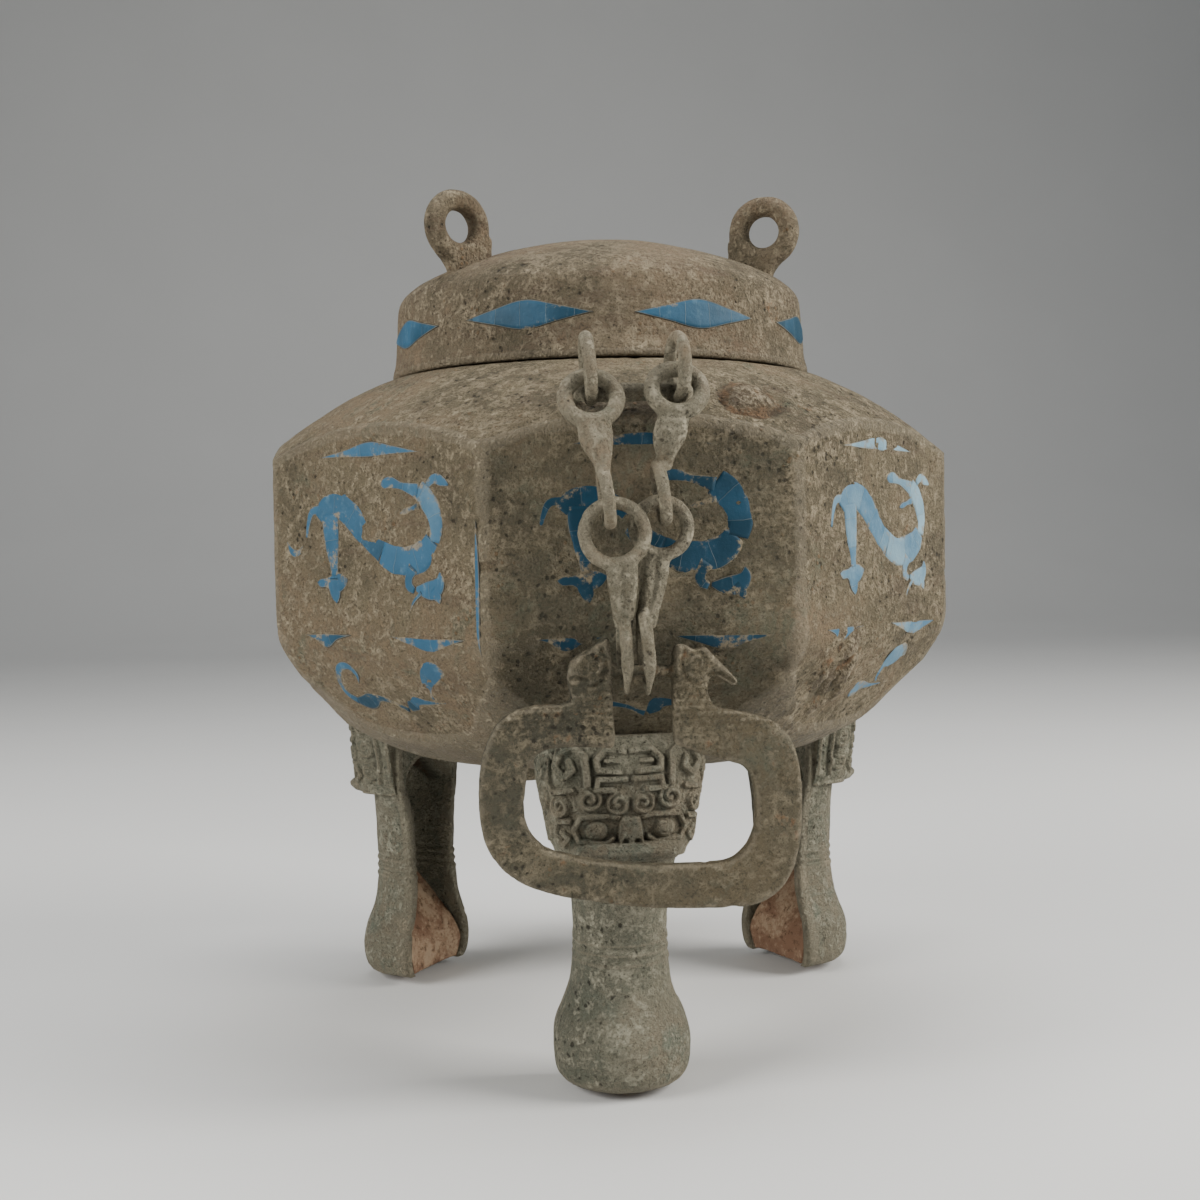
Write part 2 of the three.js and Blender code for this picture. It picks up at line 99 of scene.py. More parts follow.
def curve(points, count, closed=False):
    # a smooth line through the points, resampled to evenly spaced ones
    p = np.asarray(points, float)
    n = len(p)
    if closed:
        ends = np.vstack([p[-1], p, p[0], p[1]])
        spans = n
    else:
        ends = np.vstack([2 * p[0] - p[1], p, 2 * p[-1] - p[-2]])
        spans = n - 1
    t = np.linspace(0, 1, 16, endpoint=False)[:, None]
    fine = []
    for i in range(spans):
        a, b, c, d = ends[i], ends[i + 1], ends[i + 2], ends[i + 3]
        fine.append(0.5 * (2 * b + (c - a) * t + (2 * a - 5 * b + 4 * c - d) * t ** 2
                           + (3 * b - a - 3 * c + d) * t ** 3))
    fine = np.vstack(fine + [p[:1] if closed else p[-1:]])
    run = np.concatenate([[0], np.cumsum(np.linalg.norm(np.diff(fine, axis=0), axis=1))])
    at = np.linspace(0, run[-1], count, endpoint=not closed)
    return np.column_stack([np.interp(at, run, fine[:, k]) for k in range(p.shape[1])])


# Meshes
def gridFaces(rows, columns, closeRows=False, closeColumns=False, start=0):
    r = np.arange(rows if closeRows else rows - 1)[:, None]
    c = np.arange(columns if closeColumns else columns - 1)[None, :]
    r2, c2 = (r + 1) % rows, (c + 1) % columns
    quads = np.stack([r * columns + c, r * columns + c2, r2 * columns + c2, r2 * columns + c], -1)
    return quads.reshape(-1, 4) + start


def gridNormals(points, closed=True):
    # from the differences across the columns and the rows
    along = np.roll(points, -1, 1) - np.roll(points, 1, 1) if closed else np.gradient(points, axis=1)
    normals = np.cross(along, np.gradient(points, axis=0))
    return normals / np.maximum(np.linalg.norm(normals, axis=2, keepdims=True), 1e-9)


def fan(ring, centre):
    nextOne = np.roll(ring, -1)
    return np.column_stack([ring, nextOne, np.full(len(ring), centre)])


def flip(faces):
    return faces[:, ::-1]


def cappedFaces(rows, columns):
    # rings joined into a skin; the two points after them close its ends
    count = rows * columns
    ring = np.arange(columns)
    return [gridFaces(rows, columns, False, True), flip(fan(ring, count)),
            fan(ring + count - columns, count + 1)]


def slabFaces(rows, columns, start=0):
    # a sheet, its copy behind it, and a strip that joins their borders
    count = rows * columns
    grid = gridFaces(rows, columns, start=start)
    across, upright = np.arange(columns), np.arange(1, rows - 1) * columns
    border = start + np.concatenate([across, upright + columns - 1, across[::-1] + count - columns,
                                     upright[::-1]])
    following = np.roll(border, -1)
    rim = np.column_stack([border, following, following + count, border + count])
    return [grid, flip(grid) + count, flip(rim)]


def meshFrom(name, points, faceSets, attributes=None):
    mesh = bpy.data.meshes.new(name)
    corners = np.concatenate([f.ravel() for f in faceSets]).astype(np.int32)
    sizes = np.concatenate([np.full(len(f), f.shape[1]) for f in faceSets])
    starts = np.concatenate([[0], np.cumsum(sizes)[:-1]]).astype(np.int32)
    mesh.vertices.add(len(points))
    mesh.vertices.foreach_set("co", (points * metre).astype(np.float32).ravel())
    mesh.loops.add(len(corners))
    mesh.loops.foreach_set("vertex_index", corners)
    mesh.polygons.add(len(sizes))
    mesh.polygons.foreach_set("loop_start", starts)
    mesh.update(calc_edges=True)
    mesh.validate()
    mesh.shade_smooth()
    for key, values in (attributes or {}).items():
        storeValues(mesh, key, values)
    return mesh


def storeValues(mesh, key, values):
    made = mesh.attributes.new(key, "FLOAT", "POINT")
    made.data.foreach_set("value", values.astype(np.float32))


def readRows(items, key, width, kind=np.float32):
    flat = np.empty(len(items) * width, kind)
    items.foreach_get(key, flat)
    return flat.reshape(-1, width)


def pointsOf(mesh):
    return readRows(mesh.vertices, "co", 3).astype(float) / metre


def normalsOf(mesh):
    return readRows(mesh.vertices, "normal", 3).astype(float)


def edgesOf(mesh):
    return readRows(mesh.edges, "vertices", 2, np.int32)


def setPoints(mesh, points):
    mesh.vertices.foreach_set("co", (points * metre).astype(np.float32).ravel())
    mesh.update()


def neighbourMean(values, edges):
    # the mean of the values at the ends of the edges that meet at each corner
    a, b = edges[:, 0], edges[:, 1]
    count = len(values)
    weight = np.bincount(a, minlength=count) + np.bincount(b, minlength=count)
    total = [np.bincount(a, values[b, k], count) + np.bincount(b, values[a, k], count)
             for k in range(values.shape[1])]
    return np.column_stack(total) / np.maximum(weight, 1)[:, None]


def relax(points, edges, turns, share=0.5):
    for _ in range(turns):
        points = points + (neighbourMean(points, edges) - points) * share
    return points


def skinFrom(name, points, faces, spread, attributes=None):
    # a closed mesh with its faces turned outwards and its hollows marked
    mesh = meshFrom(name, points, rightWayOut(points, faces), attributes)
    markHollows(mesh, spread)
    return mesh


def markHollows(mesh, spread=3):
    # how far each corner lies below its neighbours' middle, along its normal, spread outwards
    points, normals, edges = pointsOf(mesh), normalsOf(mesh), edgesOf(mesh)
    broad = relax(points, edges, spread, 1.0)
    depth = np.sum((broad - points) * normals, axis=1)
    for _ in range(2):
        depth = 0.5 * depth + 0.5 * neighbourMean(depth[:, None], edges)[:, 0]
    storeValues(mesh, "hollow", depth)


def addPiece(name, mesh, material, nodes=()):
    mesh.materials.append(material)
    piece = bpy.data.objects.new(name, mesh)
    bpy.context.scene.collection.objects.link(piece)
    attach(piece, "root")
    if nodes:
        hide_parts(*nodes)


def turnedBy(points, degrees):
    # points turned round the upright axis
    a = math.radians(degrees)
    return np.column_stack([
        points[:, 0] * math.cos(a) - points[:, 1] * math.sin(a),
        points[:, 0] * math.sin(a) + points[:, 1] * math.cos(a), points[:, 2]])


def tube(path, widthways, acrossways, halfWidth, halfAcross, around=20, closed=True):
    # a skin round a line: at each point an oval from two unit directions and two half sizes
    turn = np.linspace(0, 2 * np.pi, around, endpoint=False)
    points = path[:, None, :] + widthways[:, None, :] * (halfWidth[:, None] * np.cos(turn))[..., None] \
        + acrossways[:, None, :] * (halfAcross[:, None] * np.sin(turn))[..., None]
    points = points.reshape(-1, 3)
    if closed:
        faces = [gridFaces(len(path), around, True, True)]
    else:
        points = np.vstack([points, path[0], path[-1]])
        faces = cappedFaces(len(path), around)
    return points, rightWayOut(points, faces)


def rightWayOut(points, faces):
    # six times the volume; the faces are turned if it is negative
    volume = 0.0
    for f in faces:
        a = points[f[:, 0]]
        for k in range(1, f.shape[1] - 1):
            volume += np.einsum("ij,ij->i", a, np.cross(points[f[:, k]], points[f[:, k + 1]])).sum()
    return faces if volume > 0 else [flip(f) for f in faces]


def hoop(centre, along, up, halfWidth, halfHeight, thick, across=None, steps=72, around=18):
    turn = np.linspace(0, 2 * np.pi, steps, endpoint=False)
    along, up = np.asarray(along, float), np.asarray(up, float)
    side = np.cross(along, up)
    side /= np.linalg.norm(side)
    path = np.asarray(centre, float) + halfWidth * np.cos(turn)[:, None] * along \
        + halfHeight * np.sin(turn)[:, None] * up
    out = np.cos(turn)[:, None] / halfWidth * along + np.sin(turn)[:, None] / halfHeight * up
    out /= np.linalg.norm(out, axis=1)[:, None]
    ones = np.ones(steps)
    return tube(path, out, np.tile(side, (steps, 1)), ones * thick, ones * (across or thick), around)


def stem(stations, count=60, around=20):
    # oval sections [x, out, z, half width, half depth] stacked along a smooth line
    s = curve(stations, count)
    path = np.column_stack([s[:, 0], -s[:, 1], s[:, 2]])
    width = np.tile([1.0, 0, 0], (count, 1))
    depth = np.tile([0, 1.0, 0], (count, 1))
    return tube(path, width, depth, s[:, 3], s[:, 4], around, closed=False)


def cast(name, shapes, voxel, soften, relief):
    # closed shapes melted into one skin, softened, then roughened along its normals
    points = np.vstack([p for p, _ in shapes])
    faces, start = [], 0
    for p, sets in shapes:
        faces += [f + start for f in sets]
        start += len(p)
    raw = bpy.data.objects.new(name + "Raw", meshFrom(name + "Raw", points, faces))
    bpy.context.scene.collection.objects.link(raw)
    melt = raw.modifiers.new("melt", "REMESH")
    melt.mode = "VOXEL"
    melt.voxel_size = voxel * metre * 1
    graph = bpy.context.evaluated_depsgraph_get()
    mesh = bpy.data.meshes.new_from_object(raw.evaluated_get(graph))
    mesh.name = name
    bpy.data.objects.remove(raw)
    edges = edgesOf(mesh)
    setPoints(mesh, relax(pointsOf(mesh), edges, soften))
    at, normals = pointsOf(mesh), normalsOf(mesh)
    setPoints(mesh, at + normals * relief(at, normals)[:, None])
    mesh.shade_smooth()
    markHollows(mesh)
    return mesh


def placeCopy(mesh, name, degrees, material, node):
    made = mesh.copy()
    made.name = name
    setPoints(made, turnedBy(pointsOf(mesh), degrees))
    addPiece(name, made, material, [node])


# Shader building
class Term:
    # a number in a shader; sums and products of terms make the nodes for them
    def __init__(self, shader, socket):
        self.shader, self.socket = shader, socket

    def __add__(self, other):
        return self.shader.number("ADD", self, other)

    def __radd__(self, other):
        return self.shader.number("ADD", other, self)

    def __sub__(self, other):
        return self.shader.number("SUBTRACT", self, other)

    def __rsub__(self, other):
        return self.shader.number("SUBTRACT", other, self)

    def __mul__(self, other):
        return self.shader.number("MULTIPLY", self, other)

    def __truediv__(self, other):
        return self.shader.number("DIVIDE", self, other)


class Shader:
    def __init__(self, name):
        self.material = bpy.data.materials.new(name)
        self.material.use_nodes = True
        self.nodes = self.material.node_tree.nodes
        self.links = self.material.node_tree.links
        self.surface = self.nodes["Principled BSDF"]

    def node(self, kind, settings=None, inputs=None):
        made = self.nodes.new(kind)
        for key, value in (settings or {}).items():
            setattr(made, key, value)
        for key, value in (inputs or {}).items():
            self.feed(made.inputs[key], value)
        return made

    def feed(self, socket, value):
        # a term is linked, a constant is set on the socket
        if isinstance(value, Term):
            self.links.new(value.socket, socket)
        else:
            socket.default_value = value

    def number(self, operation, *values):
        made = self.node("ShaderNodeMath", {"operation": operation}, dict(enumerate(values)))
        return Term(self, made.outputs[0])

    def place(self, stretch=(1, 1, 1)):
        at = self.node("ShaderNodeTexCoord").outputs["Object"]
        made = self.node("ShaderNodeMapping", {}, {"Vector": Term(self, at), "Scale": stretch})
        return Term(self, made.outputs[0])

    def noise(self, at, scale, detail=5.0, roughness=0.6, distortion=0.0):
        made = self.node("ShaderNodeTexNoise", {}, {
            "Vector": at, "Scale": scale, "Detail": detail, "Roughness": roughness,
            "Distortion": distortion})
        return Term(self, made.outputs["Fac"])

    def cells(self, at, scale):
        made = self.node("ShaderNodeTexVoronoi", {}, {"Vector": at, "Scale": scale})
        return Term(self, made.outputs["Distance"])

    def attribute(self, key):
        made = self.node("ShaderNodeAttribute", {"attribute_name": key})
        return Term(self, made.outputs["Fac"])

    def band(self, value, low, high, toLow=0.0, toHigh=1.0):
        # toLow where value is under low, toHigh where it is over high, eased between
        made = self.node("ShaderNodeMapRange", {"interpolation_type": "SMOOTHSTEP"}, {
            "Value": value, "From Min": low, "From Max": high, "To Min": toLow, "To Max": toHigh})
        return Term(self, made.outputs[0])

    def mix(self, amount, first, second):
        made = self.node("ShaderNodeMix", {"data_type": "RGBA"}, {"Factor": amount})
        for index, value in ((6, first), (7, second)):
            self.feed(made.inputs[index], value if isinstance(value, Term) else (*value, 1))
        return Term(self, made.outputs[2])

    def finish(self, colour, roughness, bump, distance):
        raised = self.node("ShaderNodeBump", {}, {"Height": bump, "Distance": distance})
        self.feed(self.surface.inputs["Base Color"], colour)
        self.feed(self.surface.inputs["Roughness"], roughness)
        self.feed(self.surface.inputs["Specular IOR Level"], 0.2)
        self.links.new(raised.outputs[0], self.surface.inputs["Normal"])
        return self.material


def patina(name, look):
    # old bronze under dust, earth and corrosion that has come away in flakes
    sh = Shader(name)
    at = sh.place()
    hollow, crust, front = (sh.attribute(key) for key in ("hollow", "crust", "front"))
    broad = sh.noise(at, 14, 3, 0.6, 0.5)
    middle = sh.noise(at, 52, 5, 0.68, 0.7)
    fine = sh.noise(at, 230, 5, 0.75)
    grain = sh.noise(at, 760, 4, 0.75)
    lines = sh.noise(sh.place((1, 1, look["striae"])), 30, 5, 0.7, 0.3)
    other = sh.noise(sh.place((1.7, 1.3, 1.1)), 33, 5, 0.7, 0.9)
    dustFrom, wornFrom = look["dustFrom"], look["wornFrom"]
    greenFrom, earthFrom = 0.52 - look["greenShare"], 0.57 - look["earthShare"]
    # on the front facet less dust and pale skin, more green and dark: partly its own darker patina, partly
    # painted shade
    dusty = sh.band(broad * 0.35 + middle * 0.4 + fine * 0.3 - front * 0.02, dustFrom, dustFrom + 0.15)
    # wide soft clouds of another earth and of green, and lines round the vessel
    tinted = sh.band(broad * 0.7 + other * 0.3, 0.46, 0.60)
    greenish = sh.band(other * 0.55 + broad * 0.2 + fine * 0.25 + front * 0.04, greenFrom, greenFrom + 0.12)
    lined = sh.band(lines * 0.75 + fine * 0.25, 0.5, 0.6)
    # a pale gritty skin of dust, darker metal where it is gone
    skin = sh.band(fine * 0.45 + grain * 0.35 + middle * 0.2 + crust * 0.05, 0.47, 0.58)
    earthy = middle * 0.3 + other * 0.35 + fine * 0.35 + hollow * look["hollowEarth"] + crust * 0.12
    earthy = sh.band(earthy, earthFrom, earthFrom + 0.08)
    dark = sh.band(fine * 0.4 + lines * 0.2 + grain * 0.4 + hollow * look["hollowDark"] + front * 0.01,
                   0.52, 0.62)
    speckled = sh.band(grain * 0.7 + fine * 0.3, 0.40, 0.47, 1.0, 0.0)
    pitted = sh.band(sh.cells(at, 260) + fine * 0.7 + broad * 0.9, 0.80, 0.94, 1.0, 0.0)
    # small nodules of rusty corrosion, in groups
    nodules = sh.band(sh.cells(at, 330) + fine * 0.3, 0.36, 0.46, 1.0, 0.0) \
        * sh.band(other * 0.6 + middle * 0.4 + crust * 0.15, 0.54, 0.61) * look["nodules"]
    worn = sh.band(fine * 0.3 - hollow, wornFrom, wornFrom + 0.15)
    streaked = sh.band(lines * 0.8 + fine * 0.2, 0.47, 0.56, 0.4, 1.0)
    crusted = crust * sh.band(fine * 0.6 + grain * 0.4, 0.42, 0.54, 0.95, 0.3)
    # the layers, one over the other
    colour = look["bare"]
    # the front facet's layer is partly its darker patina and partly painted shade
    for amount, key in (
            (dusty, "dust"), (tinted * look["tintShare"], "tint"), (greenish * 0.75, "green"),
            (lined * look["lineShare"], "lines"), (skin * look["paleShare"] * (1.0 - front * 0.3), "pale"),
            (earthy * 0.8, "earth"), (dark * look["darkShare"], "dark"), (speckled * 0.65, "dark"),
            (pitted * 0.75, "pit"), (nodules, "nodule"), (worn * look["wornShare"], "worn"),
            (front * streaked * look["frontShadeShare"], "frontShadeAndPatina"), (crusted, "crust")):
        colour = sh.mix(amount, colour, look[key])
    height = skin * 0.4 + fine * 0.95 + middle * 0.8 + lines * look["lineRelief"] - pitted * 0.6 \
        - dark * 0.3 + grain * 0.5 + nodules * 0.8
    return sh.finish(colour, 0.82 - worn * 0.2, height, look["relief"])


# colours, the shares of the layers, where some begin, and how deep the relief is
patinaLook = {
    "bare": (0.11, 0.092, 0.058), "dust": (0.235, 0.193, 0.118), "green": (0.13, 0.155, 0.105),
    "tint": (0.25, 0.17, 0.105), "lines": (0.13, 0.09, 0.06), "earth": (0.21, 0.10, 0.042),
    "pale": (0.43, 0.36, 0.245), "dark": (0.035, 0.032, 0.022), "pit": (0.022, 0.018, 0.012),
    # the front facet's dark colour is partly its own patina and partly painted shade
    "worn": (0.36, 0.31, 0.22), "crust": (0.11, 0.078, 0.045), "frontShadeAndPatina": (0.075, 0.085, 0.058),
    "nodule": (0.24, 0.145, 0.07),
    "tintShare": 0.5, "greenShare": 0.0, "lineShare": 0.45, "paleShare": 0.75, "earthShare": 0.0,
    "darkShare": 0.75, "nodules": 0.6, "wornShare": 0.3, "frontShadeShare": 0.3, "hollowEarth": 0.2,
    "hollowDark": 0.22, "dustFrom": 0.42, "wornFrom": 0.35, "striae": 5.0, "lineRelief": 0.6,
    "relief": 0.0028,
}
# the legs, links and bails have no lines round them
plainLook = {**patinaLook, "greenShare": 0.02, "lineShare": 0.0, "striae": 1.0}
bellyPatina = patina("bellyPatina", patinaLook)
lidPatina = patina("lidPatina", {**patinaLook, "dust": (0.23, 0.185, 0.12), "lineShare": 0.55,
                                 "greenShare": -0.03})
legPatina = patina("legPatina", {
    **plainLook, "bare": (0.12, 0.125, 0.092), "dust": (0.25, 0.235, 0.17), "green": (0.165, 0.20, 0.155),
    "tint": (0.26, 0.205, 0.14), "pale": (0.41, 0.39, 0.295), "earthShare": -0.03, "hollowDark": 0.32,
    "darkShare": 0.6, "nodules": 0.2, "wornShare": 0.4, "wornFrom": 0.25})
linkPatina = patina("linkPatina", {
    **plainLook, "dust": (0.20, 0.182, 0.13), "green": (0.14, 0.16, 0.118), "pale": (0.37, 0.335, 0.245),
    "lineRelief": 0.0, "earthShare": -0.02, "dustFrom": 0.4, "relief": 0.0015, "darkShare": 0.6,
    "nodules": 0.1, "wornShare": 0.45, "wornFrom": 0.2})
bailPatina = patina("bailPatina", {
    **plainLook, "bare": (0.075, 0.07, 0.048), "dust": (0.155, 0.135, 0.085), "green": (0.10, 0.112, 0.08),
    "tint": (0.17, 0.125, 0.07), "pale": (0.32, 0.27, 0.18), "lineRelief": 0.0, "dustFrom": 0.44,
    "paleShare": 0.6, "earthShare": 0.02, "nodules": 0.5, "wornShare": 0.45, "wornFrom": 0.2})
print("bronze materials made")


# Belly
belly = {
    "cornerRadius": 160.0,      # the eight corners, from the axis
    "wall": 4.5,
    "under": 0.35,              # the worn face lies this far inside the solid's
    "columns": 504,             # a multiple of eight, so that the corners get a row of their own
    "rows": (18, 64, 30),       # on the bowl, the upright faces and the dome
    "cornerWear": 0.9,
    "domeTop": 98,              # where the dome meets the lip
    "lump": (44.0, -127.0, 268.0),      # a crust of corrosion on the shoulder
    "lumpSize": 13.0,
    "cutHeight": 181.5,         # a line cut round the facets above the low band
    "frontWidth": (19, 23),     # the front facet is darker inside these angles, partly its own patina and partly painted shade
    "frontTop": (252, 262),
    "reach": 147.75,            # the solid's own limits
    "lowest": 114.52,
    "highest": 302.98,
}
# other crusts: place, size, height
crusts = [((80, -116, 171), 21, 2.0), ((80, -110, 158), 22, 2.4), ((70, -106, 146), 20, 2.2),
          ((-62, -122, 262), 12, 0.7), ((118, -70, 170), 12, 1.0), ((-20, 128, 262), 15, 1.2),
          ((112, 76, 160), 18, 1.3), ((-118, 60, 150), 16, 1.2)]
halfTurn = math.cos(math.radians(22.5))
facetProfile = curve([(119, 112), (129.7, 114.4), (130.6, 128), (132, 137), (139.8, 147),
                      (149.4, 160), (157.2, 172), (159.6, 180), (160, 190)], 160)
domeProfile = curve([(165, 247.5), (160, 252), (147.8, 263), (138, 270.6), (125, 279),
                     (112, 286), (104, 289.6), (98, 291.2)], 120)
bowlProfile = curve([(0, 114.6), (60, 117), (94, 121.5), (112, 129), (124, 136), (133, 145), (149, 160.4),
                     (158, 168), (168, 175)], 200)
lipProfile = [(93.2, 291), (92.2, 291.4), (91.8, 292.2), (91.7, 297), (91.6, 301.8), (91.2, 302.6),
              (90.5, 302.9), (89, 302.9), (88, 302.6), (87.6, 301.8), (87.5, 295), (87.8, 288),
              (89.5, 286.6), (96, 285.4)]
innerDome = curve([(110, 281.6), (125, 273.6), (138, 263.6), (150, 253)], 8)
innerBowl = curve([(128, 147), (119, 139), (108, 132.5), (92, 126), (60, 121.6), (0, 119.2)], 10)[:-1]


def facetRadius(height):
    # the eight-sided form's corner radius at a height
    return np.interp(height, facetProfile[:, 1], facetProfile[:, 0])


def facetShare(angle):
    # the facet's distance out against its corners' one, with the corners worn a little round
    inFacet = (angle + 22.5) % 45 - 22.5
    here = halfTurn / np.cos(np.radians(inFacet))
    beyond = halfTurn / np.cos(np.radians(45 - np.abs(inFacet)))
    k = belly["cornerWear"] / belly["cornerRadius"]
    return -k * np.log(np.exp(-here / k) + np.exp(-beyond / k))


def faceOut(height):
    # distance from the axis to the middle of a facet's worn face
    return facetRadius(height) * halfTurn - belly["under"]


def domeHeight(radius):
    return np.interp(-radius, -domeProfile[:, 0], domeProfile[:, 1])


def bellyRows(angle):
    # radius and height of every ring of corners, outside from the bowl's middle up, then inside down
    share = facetShare(angle)
    wall, inset = belly["wall"], belly["under"]
    onBowl, onFace, onDome = (int(n * (1)) for n in belly["rows"])
    # where the bowl leaves the facet and where the facet meets the dome, for every column
    cut = facetRadius(bowlProfile[None, :, 1]) * share[:, None] < bowlProfile[None, :, 0]
    first = np.argmax(cut, axis=1)
    lowRadius, lowHeight = bowlProfile[first, 0], bowlProfile[first, 1]
    outer = belly["cornerRadius"] * share
    topHeight = domeHeight(outer)
    rows = []
    for k in range(1, onBowl):
        radius = lowRadius * (k / onBowl)
        rows.append((radius, readAt(bowlProfile, radius)))
    for t in np.arange(onFace + 1) / onFace:
        # rows lie closer together near both ends
        height = lowHeight + (topHeight - lowHeight) * (t + 0.08 * math.sin(2 * math.pi * t) / math.pi)
        rows.append((facetRadius(height) * share, height))
    for k in range(1, onDome + 1):
        radius = outer + (belly["domeTop"] - outer) * (k / onDome)
        rows.append((radius, domeHeight(radius)))
    rows = [(r - inset, h - (inset if i > onBowl + onFace else 0)) for i, (r, h) in enumerate(rows)]
    outside = len(rows)
    rows += [(radius, height) for radius, height in lipProfile]
    rows += [(np.minimum(radius, outer - wall), height) for radius, height in innerDome]
    rows += [((facetRadius(height) - wall / halfTurn) * share, height)
             for height in np.linspace(247, 150, 10)]
    rows += [(np.minimum(radius, (facetRadius(height) - wall) * share), height)
             for radius, height in innerBowl]
    radius, height = (np.array([part * np.ones(len(angle)) for part in column]) for column in zip(*rows))
    return radius, height, outside


bellyWear = {
    "broad": {"size": 34, "height": 0.2, "seed": 1}, "fine": {"size": 9, "height": 0.22, "seed": 2},
    "scars": {"size": 7, "octaves": 3, "seed": 5, "between": (0.25, 0.6), "depth": 0.55}, "sunk": 0.0}


def bellyRelief(at):
    # the height of wear and crusts at each corner, and how crusty it is
    worn = wear(at, **bellyWear)
    # horizontal scrapes, drawn out along the turn, on the shoulder and the lower belly
    worn += rough(np.column_stack([at[:, :2] * 0.08, at[:, 2:]]), 5, 3, 9) * 0.13
    # the cut line, lost in places
    cutHeight = belly["cutHeight"] + 0.5 * rough(at, 22, 2, 14)
    worn -= near(at[:, 2], cutHeight, 0.2, 1.1) * 0.45 * blend(rough(at, 18, 2, 15), -0.35, 0.1)
    # one round lump on the shoulder with a moat round it
    away = np.linalg.norm(at - np.array(belly["lump"]), axis=1) / belly["lumpSize"]
    away = away * (1 + 0.25 * rough(at, 8, 2, 12))
    worn += (1 - blend(away, 0.55, 0.95)) * (2.6 + 1.8 * rough(at, 4, 3, 3))
    worn -= near(away, 1.05, 0.0, 0.16) * 0.9
    crusty = 1 - blend(away, 0.7, 1.15)
    for centre, size, tall in crusts:
        away = np.linalg.norm(at - np.array(centre), axis=1) / size
        patch = (1 - blend(away, 0.3, 1.0)) * blend(rough(at, 7, 3, 21), -0.25, 0.35)
        worn += patch * tall * (0.8 + 1.0 * rough(at, 4, 3, 8))
        crusty = np.maximum(crusty, patch)
    return worn, crusty


def bellyFront(at, angle):
    # 1 on the front facet, which is darker than its neighbours, partly its own patina and partly painted
    # shade
    across = np.abs((angle + 180) % 360 - 180) + rough(at, 14, 2, 77) * 2.5
    top = at[:, 2] + rough(at, 16, 2, 78) * 4
    return (1 - blend(across, *belly["frontWidth"])) * (1 - blend(top, *belly["frontTop"]))


def bellyMesh():
    columns = belly["columns"] // 1
    columns -= columns % 8
    angle = np.arange(columns) * 360 / columns + 22.5
    radius, height, outside = bellyRows(angle)
    rows = len(radius)
    turn = np.radians(angle)[None, :]
    points = np.stack([radius * np.sin(turn), -radius * np.cos(turn), height], -1)
    at, normals = points.reshape(-1, 3), gridNormals(points).reshape(-1, 3)
    worn, crusty = bellyRelief(at)
    inFront = bellyFront(at, np.tile(angle, rows))
    isOuter = np.arange(len(at)) < outside * columns
    worn = np.where(isOuter, worn, rough(at, 12, 2, 4) * 0.15)
    at = at + normals * worn[:, None]
    at[:, 0] = np.clip(at[:, 0], -belly["reach"], belly["reach"])
    at[:, 2] = np.clip(at[:, 2], belly["lowest"], belly["highest"])
    at = np.vstack([at, [0, 0, 114.7], [0, 0, 119.2]])
    return skinFrom("belly", at, cappedFaces(rows, columns), 4,
                    {"crust": np.append(crusty, [0, 0]), "front": np.append(inFront, [0, 0])})


addPiece("bellyShell", bellyMesh(), bellyPatina, ["vessel_body"])
print("belly made")

# Chain lugs
lug = {"left": -3.7, "reach": 21.5, "barOut": 147.0, "height": 271.5, "thick": 3.7,
       "loops": [(-16.8, -4, 0), (16.8, 0, 14)],    # place along the bar, lean, turn
       "loopPlace": (-152, 280), "loopSize": (7.4, 11.5, 2.75)}


def lugShapes():
    left, reach, out = lug["left"], lug["reach"], lug["barOut"]
    # half of the bar, from the wall outwards, and its mirror image
    half = [(-reach, -130), (-reach, -139), (1 - reach, -144.5), (5 - reach, -out)]
    mirrored = [(left - x, y) for x, y in half[::-1]]
    path = curve([(left + x, y) for x, y in half] + [(left, -out)] + mirrored, 90)
    path = np.column_stack([path, np.full(90, lug["height"])])
    run = np.gradient(path, axis=0)
    run /= np.linalg.norm(run, axis=1)[:, None]
    thick = np.full(90, lug["thick"])
    up = np.tile([0, 0, 1.0], (90, 1))
    shapes = [tube(path, np.cross(run, up), up, thick, thick, 18, False)]
    for x, lean, turn in lug["loops"]:
        a, b = math.radians(turn), math.radians(lean)
        shapes.append(hoop((left + x, *lug["loopPlace"]), (math.sin(a), -math.cos(a), 0),
                           (math.sin(b), 0, math.cos(b)), *lug["loopSize"]))
    return shapes


castWear = {
    "broad": {"size": 14, "height": 0.16, "seed": 31}, "fine": {"size": 4, "height": 0.12, "seed": 33},
    "scars": {"size": 5, "octaves": 2, "seed": 35, "between": (0.4, 0.8), "depth": 0.3}, "sunk": 0.1}


def castRelief(at, normals):
    return wear(at, **castWear)


lugMesh = cast("lugFront", lugShapes(), 0.7, 4, castRelief)
placeCopy(lugMesh, "lugFront", 0, linkPatina, "vessel_body")
placeCopy(lugMesh, "lugBack", 180, linkPatina, "vessel_body")
print("chain lugs made")

# Chain links
link = {"loopThick": 2.35, "upperGroove": 0.5, "lowerGroove": 1.1, "taper": 0.62, "taperFrom": (160, 171),
        "reach": 171.7}
